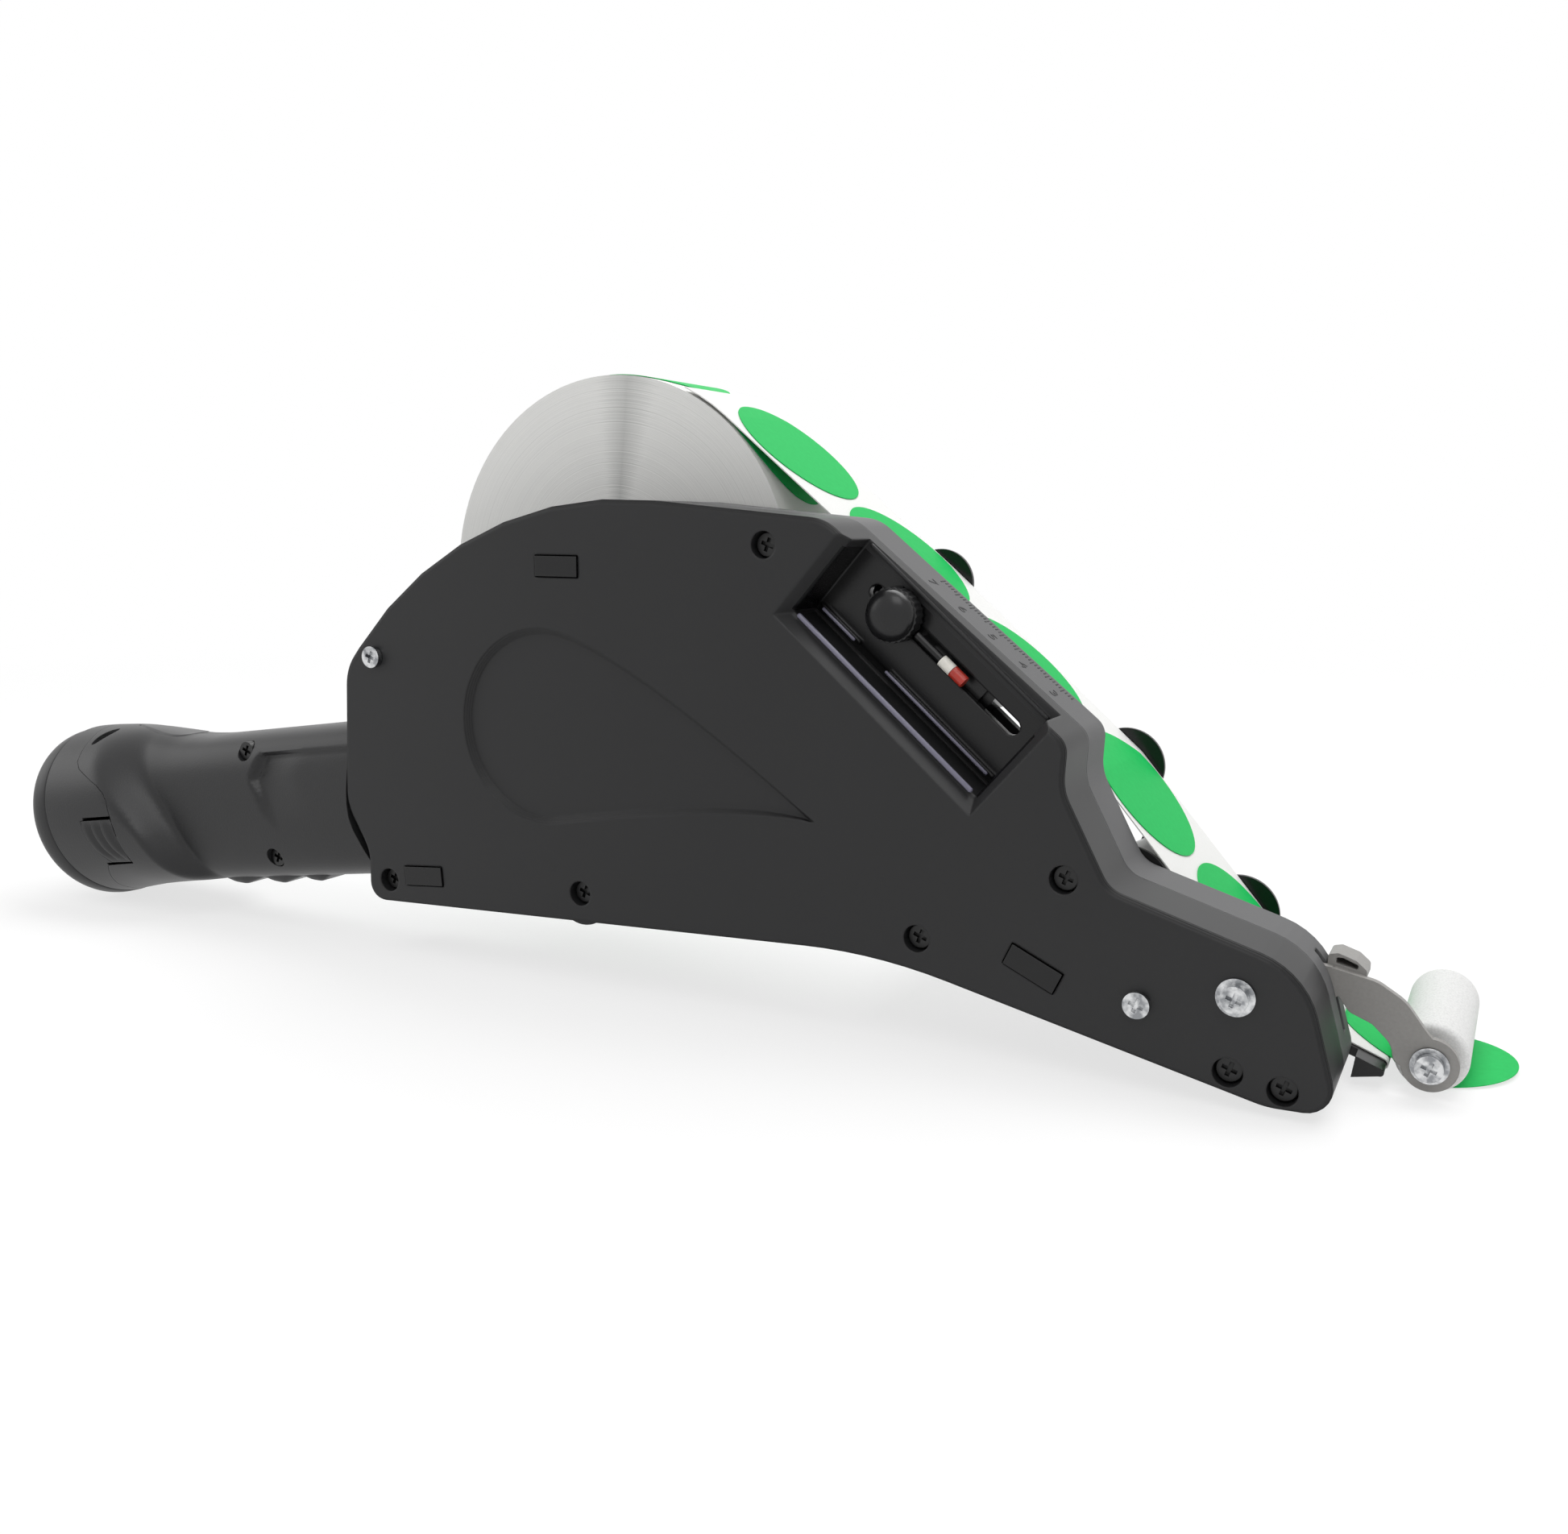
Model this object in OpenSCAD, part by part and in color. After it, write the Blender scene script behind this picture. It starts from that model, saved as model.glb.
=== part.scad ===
/* [Housing] */
// Length of the flat near cover, rear edge to nose
cover_l = 273; // [240:1:310]
// Height of the cover's roof above the table
cover_h = 130; // [115:1:150]
// Depth of the near cover, face to seam
cover_d = 18.6; // [18:0.1:20]
// Depth of the main frame, seam to back wall
frame_d = 14.5; // [14:0.1:16]
// Thickness of the cover's face
face_t = 2.4; // [2:0.1:2.8]
// Thickness of the side walls
side_t = 2.2; // [1.8:0.1:2.8]
// Thickness of the frame's back wall
back_t = 2.4; // [2:0.1:3]
// Depth of the rounded front edge
edge_d = 1.4; // [0.8:0.1:2]
// Depth of the teardrop recess
teardrop_d = 1.6; // [1:0.1:2]

/* [Sensor tray] */
// Length of the tray along the web
tray_l = 67.5; // [62:0.5:70]
// Width of the tray, open at the rim
tray_w = 25; // [24:0.5:26]
// Depth of the tray floor below the face
tray_d = 14; // [13:0.1:14.5]
// Thickness of the tray floor
floor_t = 2.2; // [1.6:0.1:2.4]
// Width of the bevel round the tray
bevel_w = 2.6; // [1.5:0.1:3.2]
// Width of the slot that the sensor slides in
slot_w = 4; // [3.4:0.1:4.4]
// Length of the slot
slot_l = 46; // [40:0.5:48]
// Diameter of the clamp knob
knob_d = 13.4; // [12:0.2:14]
// Height of the clamp knob
knob_h = 8.6; // [7:0.1:9.6]

/* [Labels and web] */
// Diameter of one round label
label_d = 40; // [36:1:42]
// Gap between two labels
label_gap = 3.4; // [2:0.1:5]
// Thickness of a label
label_t = 0.2; // [0.15:0.05:0.3]
// Width of the backing paper
web_w = 43.2; // [42.5:0.1:46]
// Thickness of the backing paper
web_t = 0.3; // [0.25:0.05:0.35]
// Diameter of the label roll
roll_d = 110; // [80:1:112]
// Outside diameter of the cardboard core
core_d = 40; // [38:1:42]
// Wall of the cardboard core
core_t = 3; // [2.5:0.1:4]
// Diameter of the roll spindle
spindle_d = 8; // [7:0.5:9]

/* [Rollers] */
// Diameter of a guide roller
guide_d = 11.2; // [10:0.2:12]
// Diameter of the flange at a guide roller's far end
flange_d = 20.6; // [18:0.2:21]
// Diameter of the axles that carry the rollers
axle_d = 4; // [3.6:0.2:4.4]
// Diameter of the rubber drive roller
drive_d = 18; // [16:0.5:19]
// Diameter of the drive shaft
drive_shaft_d = 5; // [4.6:0.2:5.4]
// Diameter of the pinch roller
pinch_d = 11; // [10:0.2:12]
// Diameter of the white foam roller
foam_d = 15.8; // [15:0.1:16.4]
// Length of the foam roller
foam_l = 47; // [45:0.5:48]

/* [Drive] */
// Tooth size, pitch diameter per tooth
gear_m = 0.8; // [0.75:0.05:0.85]
// Teeth of the drive gear
drive_teeth = 26; // [24:1:27]
// Teeth of the motor pinion
pinion_teeth = 16; // [15:1:17]
// Width of the gears
gear_w = 5; // [4:0.5:5.5]
// Diameter of the motor can
motor_d = 18; // [16:0.5:18.5]
// Length of the motor can
motor_l = 30; // [26:1:32]

/* [Handle] */
// Diameter of the battery end
butt_d = 56; // [52:1:58]
// Length of the handle, seam ring to housing
grip_l = 118; // [110:1:130]
// Height of the grip
grip_h = 45.5; // [42:0.5:48]
// Thickness of the grip
grip_w = 34; // [31:0.5:36]
// Thickness of the handle's wall
grip_t = 2.6; // [2:0.1:3]
// Rise of the handle towards the front, degrees
grip_rise = 8; // [6:0.5:9]
// Extra tilt of the end cap, degrees
cap_tilt = 7; // [4:0.5:9]
// Length of the end cap
cap_l = 9; // [7:0.5:11]
// Width of the trigger
trigger_w = 12; // [10:0.5:13]
// Length of the trigger
trigger_l = 52; // [46:1:54]

/* [Nose] */
// Thickness of the bracket plates
arm_t = 2; // [1.6:0.1:2.4]
// Diameter of the arm's round end
arm_end_d = 12; // [11:0.5:13]

/* [Fasteners] */
// Diameter of a recessed cover screw's hole
well_d = 6.6; // [6:0.1:7]
// Depth of that hole
well_h = 4.6; // [3.6:0.1:6]
// Diameter of the cover screws' shanks
shank_d = 3; // [2.6:0.1:3.2]

/* [Hidden] */

// Clearances: seats of fixed pieces, running gaps, bearing gaps
seat = 0.1;
gap = 0.3;
bush = 0.06;
// Overrun of every cut
over = 1;
// Steps of a rounded corner
steps = 7;
body_d = cover_d + frame_d;
web_gap = 1.3;
web_y = body_d + web_gap;
web_far = web_y + web_w;
web_mid = web_y + web_w / 2;
mid_y = body_d / 2;

// Housing outline: share of length, share of height, corner radius as a share of height
outline_shares = [[0.028, 0.125, 0.04], [0.029, 0.235, 0.09], [0.0, 0.335, 0.11],
    [0.007, 0.639, 0.11], [0.167, 1.038, 0.885], [0.556, 0.965, 0.09], [0.775, 0.592, 0.04],
    [0.773, 0.512, 0.09], [0.814, 0.350, 0.055], [0.969, 0.252, 0.14], [1.0, 0.018, 0.045],
    [0.945, 0.015, 0.15], [0.610, 0.175, 1.1]];
// Teardrop recess: centre of its round end, upper pull point, tip, lower pull point
teardrop_shares = [[0.2571, 0.546], [0.3546, 0.695], [0.5462, 0.410], [0.4751, 0.442]];
teardrop_r_share = 0.188;
// Places on the housing: share of length, share of height
screw_shares = [[0.057, 0.177], [0.299, 0.209], [0.4985, 0.917], [0.650, 0.217],
    [0.777, 0.358], [0.915, 0.066], [0.957, 0.049]];
rear_screw_share = [0.048, 0.667];
arm_screw_share = [0.842, 0.160];
flange_screw_share = [0.918, 0.197];
roll_share = [0.259, 0.838];
guide_shares = [[0.553, 0.830], [0.753, 0.465], [0.869, 0.1815]];
liner_share = [0.800, 0.294];
drive_share = [0.696, 0.308];
foam_share = 1.055;
tip_share = [1.018, 0.0315];
holddown_share = [0.956, 0.2219];
tray_share = [0.508, 0.791];
clip_shares = [[0.278, 0.869, 0], [0.104, 0.197, 5], [0.754, 0.194, -25]];
function at_share(s) = [s[0] * cover_l, s[1] * cover_h];
function scaled_shares(s) = [for (v = s) [v[0] * cover_l, v[1] * cover_h, v[2] * cover_h]];

outline = scaled_shares(outline_shares);
roll_c = at_share(roll_share);
guide_c = [for (g = guide_shares) at_share(g)];
liner_c = at_share(liner_share);
drive_c = at_share(drive_share);
foam_c = [foam_share * cover_l, foam_d / 2 + label_t + gap];
tip_c = at_share(tip_share);
tray_c = at_share(tray_share);
flange_c = at_share(flange_screw_share);
arm_c = at_share(arm_screw_share);
rear_c = at_share(rear_screw_share);

// Small vector helpers
function unit(v) = v / norm(v);
function polar(c, r, a) = [c[0] + r * cos(a), c[1] + r * sin(a)];
function left_of(v) = [-v[1], v[0]];
function last(v) = v[len(v) - 1];
function bend(v, w) = cross([v[0], v[1], 0], [w[0], w[1], 0])[2];
function xz(p) = [p[0], p[1]];

// Crossing of two lines, each a point and a direction
function crossing(p, v, q, w) = p + v * bend(q - p, w) / bend(v, w);

// One rounded corner of a polygon: tangent length, centre side and arc
function corner(a, b, c, r) = let (u = unit(a - b), w = unit(c - b), half = acos(u * w) / 2,
        cut = r / tan(half), m = b + unit(u + w) * r / sin(half), s = b + u * cut, e = b + w * cut,
        a0 = atan2(s[1] - m[1], s[0] - m[0]), turn = bend(b - a, c - b) > 0 ? 180 - 2 * half : 2 * half - 180)
    [for (i = [0 : steps]) polar(m, r, a0 + turn * i / steps)];

// Polygon whose vertices [x, z, r] get their own radius
function rounded(v) = let (n = len(v))
    [for (i = [0 : n - 1], p = corner(xz(v[(i + n - 1) % n]), xz(v[i]), xz(v[(i + 1) % n]), v[i][2])) p];

// The same polygon with its walls moved inwards; its vertices run clockwise
function inset(v, d) = let (n = len(v))
    [for (i = [0 : n - 1]) let (a = xz(v[(i + n - 1) % n]), b = xz(v[i]), c = xz(v[(i + 1) % n]),
        u = unit(b - a), w = unit(c - b), p = crossing(a - left_of(u) * d, u, c - left_of(w) * d, w))
        [p[0], p[1], v[i][2] + (bend(u, w) > 0 ? d : -d)]];

// Path of a strip held by circles [centre, radius] on its right, or on its left for a negative radius
function tangent_angle(p, q) = let (v = q[0] - p[0])
    atan2(v[1], v[0]) + acos((p[1] - q[1]) / norm(v));
turn_step = 6;
function near_turn(a, b) = b - a > 180 ? b - 360 : b - a < -180 ? b + 360 : b;
function strip_path(circles, a_start, a_end) = let (n = len(circles),
        t = [for (i = [0 : n - 2]) tangent_angle(circles[i], circles[i + 1])])
    [for (i = [0 : n - 1]) let (a0 = i == 0 ? a_start : t[i - 1], a1 = i == n - 1 ? a_end : t[i],
            turn = near_turn(a0, a1) - a0, cuts = ceil(abs(turn) / turn_step))
        for (k = [0 : cuts]) polar(circles[i][0], circles[i][1], a0 + turn * k / max(cuts, 1))];
function thicker(circles, t) = [for (c = circles) [c[0], c[1] + t]];
function reversed(v) = [for (i = [len(v) - 1 : -1 : 0]) v[i]];

// Point at a distance along a path, and its direction there
function along(p, s, i = 0) = let (l = norm(p[i + 1] - p[i]))
    s <= l || i == len(p) - 2 ? p[i] + (p[i + 1] - p[i]) * s / max(l, over / 1000) : along(p, s - l, i + 1);

// Origin under the middle of the whole tool, on the surface that it lies on
module placed() {
    translate([-middle_x, -middle_y, 0]) children();
}

// Flat shape of the side view, given depth along Y
module slab(y, t) {
    translate([0, y + t, 0]) rotate([90, 0, 0]) linear_extrude(t) children();
}

// Cylinder along Y
module rod(c, y, t, d) {
    translate([c[0], y, c[1]]) rotate([-90, 0, 0]) cylinder(h = t, d = d, $fn = 64);
}

// Ring along Y
module tube(c, y, t, d, bore) {
    difference() {
        rod(c, y, t, d);
        rod(c, y - over, t + 2 * over, bore);
    }
}

// Skin through rings of equally many points, closed at both ends
module skin(rings) {
    n = len(rings[0]);
    m = len(rings);
    polyhedron(points = [for (r = rings, p = r) p], faces = concat([[for (i = [n - 1 : -1 : 0]) i]],
        [[for (i = [0 : n - 1]) (m - 1) * n + i]],
        [for (j = [0 : m - 2], i = [0 : n - 1]) each [
            [j * n + i, j * n + (i + 1) % n, (j + 1) * n + (i + 1) % n],
            [j * n + i, (j + 1) * n + (i + 1) % n, (j + 1) * n + i]]]));
}

// Frame of the sensor tray: u along the web, v towards the rim
tray_turn = -40.9;
module in_tray() {
    translate([tray_c[0], 0, tray_c[1]]) rotate([0, -tray_turn, 0]) children();
}
function tray_pt(u, v) = polar(polar(tray_c, u, tray_turn), v, tray_turn + 90);
slot_v = tray_w * 0.708;
slot_u = tray_l * 0.185;
carriage_u = slot_u + slot_l * 0.165;
rail_v = tray_w * 0.22;
rail_w = 1;
rail_h = 1.2;
lip_v = slot_v + knob_d / 2 + 2 * gap;
lip_w = 0.8;
// Reach of the tray's cuts past the housing's rim
tray_out = tray_w * 1.5;
// Ends of the rails and of the bead: shares of the tray's length
rail_shares = [[0.06, 0.26], [0.41, 0.94]];
lip_share = [0.06, 0.94];
bead_d = 1.2;
bead_y = 4;

screw_wells = [for (s = screw_shares) at_share(s)];
boss_d = well_d + 2 * side_t * 0.6;
shank_l = body_d - well_h - back_t - gap;
bump_d = well_d + 11;

// Front edge in three steps: depth share, inset share
edge_shares = [[0, 0.62], [0.28, 0.27], [0.62, 0.08]];
module near_cover_front() {
    for (e = edge_shares) slab(e[0] * edge_d, (1 - e[0]) * edge_d)
        polygon(rounded(inset(outline, e[1] * edge_d)));
}

// Teardrop: an arc and two curves to its tip, widened by g
teardrop_arc = [79, 278];
arc_cuts = 36;
curve_cuts = 12;
function curve(p, c, q) = [for (i = [1 : curve_cuts]) let (t = i / curve_cuts)
    p * pow(1 - t, 2) + c * 2 * t * (1 - t) + q * pow(t, 2)];
module teardrop_shape(g) {
    p = [for (s = teardrop_shares) at_share(s)];
    r = teardrop_r_share * cover_h + g;
    up = [0, g];
    top = p[1] + up;
    tip = p[2] + [g, 0];
    foot = p[3] - up;
    a = teardrop_arc[0];
    sweep = teardrop_arc[1] - a;
    arc = [for (i = [0 : arc_cuts]) polar(p[0], r, a + sweep * i / arc_cuts)];
    polygon(concat(arc, curve(last(arc), foot, tip), curve(tip, top, arc[0])));
}

// Sloping wall of the recess in steps: depth share, widening share
recess_shares = [[0.25, 0.95], [0.5, 0.6], [0.75, 0.3], [1, 0]];

// Opening of the tray, wider at the face
module tray_cut() {
    in_tray() {
        hull() {
            translate([0, -over, 0]) cube([tray_l, over, tray_out]);
            translate([bevel_w, bevel_w, bevel_w]) cube([tray_l - 2 * bevel_w, over, tray_out]);
        }
        translate([bevel_w, -over, bevel_w]) cube([tray_l - 2 * bevel_w, tray_d + over, tray_out]);
        translate([bevel_w, -over, bevel_w])
            cube([tray_l - 2 * bevel_w, tray_d + over + rail_h, rail_v - bevel_w]);
    }
}

module tray_walls() {
    intersection() {
        in_tray() translate([bevel_w - side_t, edge_d, bevel_w - side_t])
            cube([tray_l - 2 * bevel_w + 2 * side_t, tray_d + floor_t - edge_d, tray_out]);
        slab(0, cover_d) polygon(rounded(inset(outline, side_t / 2)));
    }
}

module tray_bar(s, v, w) {
    translate([s[0] * tray_l, tray_d - rail_h, v]) cube([(s[1] - s[0]) * tray_l, rail_h + seat, w]);
}
module tray_rail() in_tray() {
    for (s = rail_shares) tray_bar(s, rail_v, rail_w);
    tray_bar(lip_share, lip_v, lip_w);
    translate([bevel_w, bead_y, bevel_w]) rotate([0, 90, 0])
        cylinder(h = tray_l - 2 * bevel_w, d = bead_d, $fn = 24);
}

// Slot with round ends in the side view
module slot_shape(w, l0, l1) {
    for (u = [l0, l1]) translate(tray_pt(u, slot_v)) circle(d = w, $fn = 32);
    polygon([tray_pt(l0, slot_v - w / 2), tray_pt(l1, slot_v - w / 2), tray_pt(l1, slot_v + w / 2),
        tray_pt(l0, slot_v + w / 2)]);
}

clip_l = 13;
clip_h = 5.2;
clip_proud = 0.4;
clip_d = 9;
module clip_shape(extra) {
    for (c = clip_shares) translate(at_share(c)) rotate(c[2])
        square([clip_l + extra, clip_h + extra], center = true);
}

// Room for the handle in the rear walls
socket_z = cover_h * 0.150;
socket_h = cover_h * 0.372;
socket_l = cover_l * 0.036;
module socket_cut() {
    translate([-socket_l, face_t, socket_z])
        cube([2 * socket_l, body_d - face_t - back_t, socket_h]);
}

arm_y = cover_d + frame_d * 0.5;
module near_cover() color("#2b2b2c") placed() difference() {
    union() {
        difference() {
            union() {
                near_cover_front();
                slab(edge_d, cover_d - edge_d) polygon(rounded(outline));
                rod(screw_wells[1], edge_d, cover_d - edge_d, bump_d);
            }
            slab(face_t, cover_d) polygon(rounded(inset(outline, side_t)));
            rod(screw_wells[1], face_t, cover_d, bump_d - 2 * side_t);
        }
        slab(face_t - seat, teardrop_d + seat) teardrop_shape(teardrop_d);
        tray_walls();
        for (c = screw_wells) intersection() {
            rod(c, edge_d, cover_d - edge_d - seat, boss_d);
            slab(0, cover_d) polygon(rounded(outline));
        }
        for (c = [arm_c, flange_c]) rod(c, edge_d, arm_y - edge_d - seat, boss_d);
        rod(rear_c, edge_d, cover_d - edge_d - seat, boss_d);
    }
    for (e = recess_shares) slab(-over, over + e[0] * teardrop_d) teardrop_shape(e[1] * teardrop_d);
    difference() {
        tray_cut();
        tray_rail();
    }
    slab(0, cover_d) slot_shape(slot_w, slot_u, slot_u + slot_l);
    for (c = screw_wells) {
        rod(c, -over, well_h + over, well_d);
        rod(c, 0, cover_d + over, shank_d + 2 * gap);
    }
    for (c = [arm_c, flange_c, rear_c]) rod(c, -over, body_d, shank_d + 2 * gap);
    slab(-over, cover_d) clip_shape(2 * gap);
    socket_cut();
}

// Place of the handle: ring centre and axis
cap_edge_share = 0.62;
cap_face_share = 0.93;
cap_a = grip_rise + cap_tilt;
ring_c = [-cover_l * 0.4245, butt_d / 2 * cos(cap_a) + (gap + cap_l * cap_edge_share) * sin(cap_a) + seat];
module in_handle() {
    translate([ring_c[0], mid_y, ring_c[1]]) rotate([0, -grip_rise, 0]) children();
}
function handle_pt(u, n) = polar(polar(ring_c, u, grip_rise), n, grip_rise + 90);

module main_frame() color("#3a3b3d") placed() difference() {
    union() {
        difference() {
            slab(cover_d + seat, frame_d - seat) polygon(rounded(outline));
            slab(cover_d - over, frame_d - back_t + over) polygon(rounded(inset(outline, side_t)));
        }
        for (c = screw_wells) intersection() {
            rod(c, cover_d + seat, frame_d - back_t, boss_d);
            slab(0, body_d) polygon(rounded(outline));
        }
        rod(rear_c, cover_d + seat, frame_d - back_t, boss_d);
        for (c = [arm_c, flange_c]) rod(c, arm_y + arm_t + seat, body_d - arm_y - arm_t - back_t, boss_d);
        for (c = concat(guide_c, [liner_c, pinch_pin_c])) rod(c, axle_y, body_d - axle_y - over, axle_d * 2);
        rod(roll_c, spindle_y, body_d - spindle_y - over, spindle_d * 2);
    }
    for (c = screw_wells) rod(c, 0, body_d - back_t, shank_d + 2 * seat);
    for (c = [arm_c, flange_c, rear_c]) rod(c, 0, body_d - back_t, shank_d + 2 * seat);
    for (c = concat(guide_c, [liner_c, pinch_pin_c])) rod(c, 0, body_d + over, axle_d + 2 * seat);
    rod(roll_c, 0, body_d + over, spindle_d + 2 * seat);
    rod(drive_c, 0, body_d + over, bush_d + 2 * seat);
    slab(cover_d, frame_d + over) slot_shape(window_w, slot_u, slot_u + slot_l);
    arm_slot();
    socket_cut();
}

// Roll and its hub
axle_y = arm_y + arm_t + 2 * seat;
spindle_y = body_d - back_t - cover_d * 0.4;
hub_d = core_d - 2 * core_t - 2 * seat;
keeper_t = 1.6;
keeper_d = core_d + core_t * 3;
// Lightening holes of the hub and the keeper: shares of their diameters
lightening_n = 6;
hub_ring_share = 0.32;
hub_hole_share = 0.22;
keeper_ring_share = 0.36;
keeper_hole_share = 0.12;
spindle_head_d = 14;
module roll_spindle() color("#8d9094") placed() {
    rod(roll_c, spindle_y - over, web_far - spindle_y - gap + over, spindle_d);
    rod(roll_c, web_far - gap, keeper_t, spindle_head_d);
}

module roll_hub() color("#2f3032") placed() difference() {
    union() {
        rod(roll_c, body_d + gap, web_gap - 2 * gap, core_d - gap);
        rod(roll_c, body_d + gap, web_w, hub_d);
    }
    rod(roll_c, body_d, web_w + 2 * web_gap, spindle_d + 2 * bush);
    for (i = [1 : lightening_n]) rod(polar(roll_c, hub_d * hub_ring_share, i * 360 / lightening_n), body_d,
        web_w + 2 * web_gap, hub_d * hub_hole_share);
}

module roll_core() color("#b08d62") placed() tube(roll_c, web_y, web_w, core_d, core_d - 2 * core_t);

module roll_keeper() color("#2f3032") placed() difference() {
    rod(roll_c, web_far + seat, keeper_t, keeper_d);
    rod(roll_c, web_far, keeper_t + over, spindle_head_d + 2 * gap);
    for (i = [1 : lightening_n]) let (a = (i - 0.5) * 360 / lightening_n)
        rod(polar(roll_c, core_d * keeper_ring_share, a), web_far, keeper_t + over,
            core_d * keeper_hole_share);
}

module label_roll() color("#f1f0ec") placed() tube(roll_c, web_y, web_w, roll_d, core_d + 2 * seat);

// Labels on the roll's outer turn
roll_labels_n = 8;
roll_label_a = 88;
module roll_labels() color("#35c76f") placed() intersection() {
    tube(roll_c, web_y, web_w, roll_d + 2 * seat + 2 * label_t, roll_d + 2 * seat);
    for (i = [0 : roll_labels_n - 1])
        translate([roll_c[0], web_mid, roll_c[1]]) rotate([0, -roll_label_a - i * 360 / roll_labels_n, 0])
            rotate([0, 90, 0]) cylinder(h = roll_d, d = label_d, $fn = 64);
}

// Way of the backing paper: circles that hold it, then the peel edge
peel_r = 0.9;
holddown_r = 16;
web_circles = [[roll_c, roll_d / 2 + label_t + 2 * gap], [guide_c[0], guide_d / 2 + seat],
    [guide_c[1], guide_d / 2 + seat], [guide_c[2], guide_d / 2 + seat],
    [at_share(holddown_share), -holddown_r], [tip_c, peel_r + seat]];
web_last = -75;
web_lead = 15;
web_start = tangent_angle(web_circles[0], web_circles[1]) + web_lead;
web_in = strip_path(web_circles, web_start, web_last);
web_out = strip_path(thicker(web_circles, web_t), web_start, web_last);
module label_web() color("#f4f3ef") placed() slab(web_y, web_w) polygon(concat(web_in, reversed(web_out)));

// Labels lying on the web, each a slice of the strip above the paper
label_circles = thicker(web_circles, web_t + seat);
label_last = tangent_angle(web_circles[4], web_circles[5]);
label_in = strip_path(label_circles, web_start, label_last);
label_out = strip_path(thicker(label_circles, label_t), web_start, label_last);
first_label = label_d * 0.72;
web_label_n = 5;
module web_label(s) {
    p = along(label_in, s);
    q = along(label_in, s + over);
    v = unit(q - p);
    intersection() {
        slab(web_y, web_w) polygon(concat(label_in, reversed(label_out)));
        translate([p[0], web_mid, p[1]]) rotate([0, 90 - atan2(v[1], v[0]), 0])
            rotate([0, -90, 0]) cylinder(h = label_d, d = label_d, center = true, $fn = 64);
    }
}
module web_labels() color("#35c76f") placed()
    for (i = [0 : web_label_n - 1]) web_label(first_label + i * (label_d + label_gap));

// Peeled label: free of the paper at the peel edge, then under the foam roller. Points past the
// edge: share of the label's length from the roller's middle, share of the roller's height
peeled_shares = [[-0.14, 0.17], [-0.03, 0], [0.05, 0], [0.46, 0.1]];
peeled_back_share = 0.33;
peeled_mid_share = -0.06;
module peeled_label() color("#35c76f") placed() {
    lift = peel_r + web_t + 2 * seat;
    free = polar(polar(tip_c, lift, web_run + 90), lift, web_run);
    path = concat([polar(free, -label_d * peeled_back_share, web_run), free],
        [for (s = peeled_shares) [foam_c[0] + s[0] * label_d, s[1] * foam_c[1]]]);
    intersection() {
        slab(web_y, web_w) polygon(concat(path, [for (p = reversed(path)) p + [0, label_t]]));
        translate([foam_c[0] + peeled_mid_share * label_d, web_mid, 0])
            cylinder(h = foam_d * 2, d = label_d, center = true, $fn = 64);
    }
}

// Guide rollers on axles standing out of the frame
flange_t = 1.2;
top_flange_d = flange_d * 0.93;
liner_flange_d = flange_d * 0.8;
module guide(c, fd) {
    difference() {
        union() {
            rod(c, web_y - 2 * gap, web_w + 3 * gap, guide_d);
            rod(c, web_far + gap, flange_t, fd);
        }
        rod(c, body_d, web_w + 2 * web_gap + over, axle_d + 2 * bush);
    }
}
module guide_roller_top() color("#1f2021") placed() guide(guide_c[0], top_flange_d);
module guide_roller_mid() color("#1f2021") placed() guide(guide_c[1], flange_d);
module guide_roller_low() color("#1f2021") placed() guide(guide_c[2], flange_d);

module liner_roller() color("#1f2021") placed() difference() {
    union() {
        rod(liner_c, body_d + gap, web_gap - gap - seat, flange_d);
        rod(liner_c, body_d + gap, web_w + web_gap, guide_d);
        rod(liner_c, web_far + gap, flange_t, liner_flange_d);
    }
    rod(liner_c, body_d, web_w + 2 * web_gap + over, axle_d + 2 * bush);
}

axle_end_t = 1.2;
axle_end_d = axle_d * 1.7;
module guide_axles() color("#a7abaf") placed() for (c = concat(guide_c, [liner_c])) {
    rod(c, axle_y, web_far + flange_t + 2 * gap - axle_y, axle_d);
    rod(c, web_far + flange_t + 2 * gap, axle_end_t, axle_end_d);
}

// Drive: rubber roller on a shaft with a gear inside the housing
bush_d = drive_shaft_d + 4;
bush_flange_d = bush_d + 3;
bush_flange_t = 0.8;
bush_proud = 0.6;
bush_y = body_d - back_t - bush_flange_t - seat;
gear_y = body_d - back_t - over - gear_w - gap;
module drive_roller() color("#242526") placed()
    tube(drive_c, web_y, web_w - gap, drive_d, drive_shaft_d + 2 * seat);
module drive_shaft() color("#b9bcc0") placed()
    rod(drive_c, gear_y - 2 * over, web_far - gear_y + 2 * over + gap, drive_shaft_d);
module drive_bush() color("#a98545") placed() difference() {
    union() {
        rod(drive_c, bush_y, body_d + bush_proud - bush_y, bush_d);
        rod(drive_c, bush_y, bush_flange_t, bush_flange_d);
    }
    rod(drive_c, 0, web_far, drive_shaft_d + 2 * bush);
}

// Gear tooth: half width at the pitch circle as a share of the pitch, then for root, pitch circle and
// tip the radius as a share of the module and the width as a share of that half width
tooth_share = 0.22;
tooth_shares = [[-1.25, 1.75], [0, 1], [0.95, 0.5]];
module gear(c, n, y, w, bore, turn) {
    pitch = 360 / n;
    side = [for (t = tooth_shares) [gear_m * (n / 2 + t[0]), pitch * tooth_share * t[1]]];
    difference() {
        slab(y, w) translate(c) rotate(turn) polygon([for (i = [1 : n]) each concat(
            [for (t = side) polar([0, 0], t[0], i * pitch - t[1])],
            [for (t = reversed(side)) polar([0, 0], t[0], i * pitch + t[1])])]);
        rod(c, y - over, w + 2 * over, bore);
    }
}
pinion_a = 172;
pinion_c = polar(drive_c, gear_m * (drive_teeth + pinion_teeth) / 2 + seat, pinion_a);
drive_phase = pinion_a;
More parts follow.
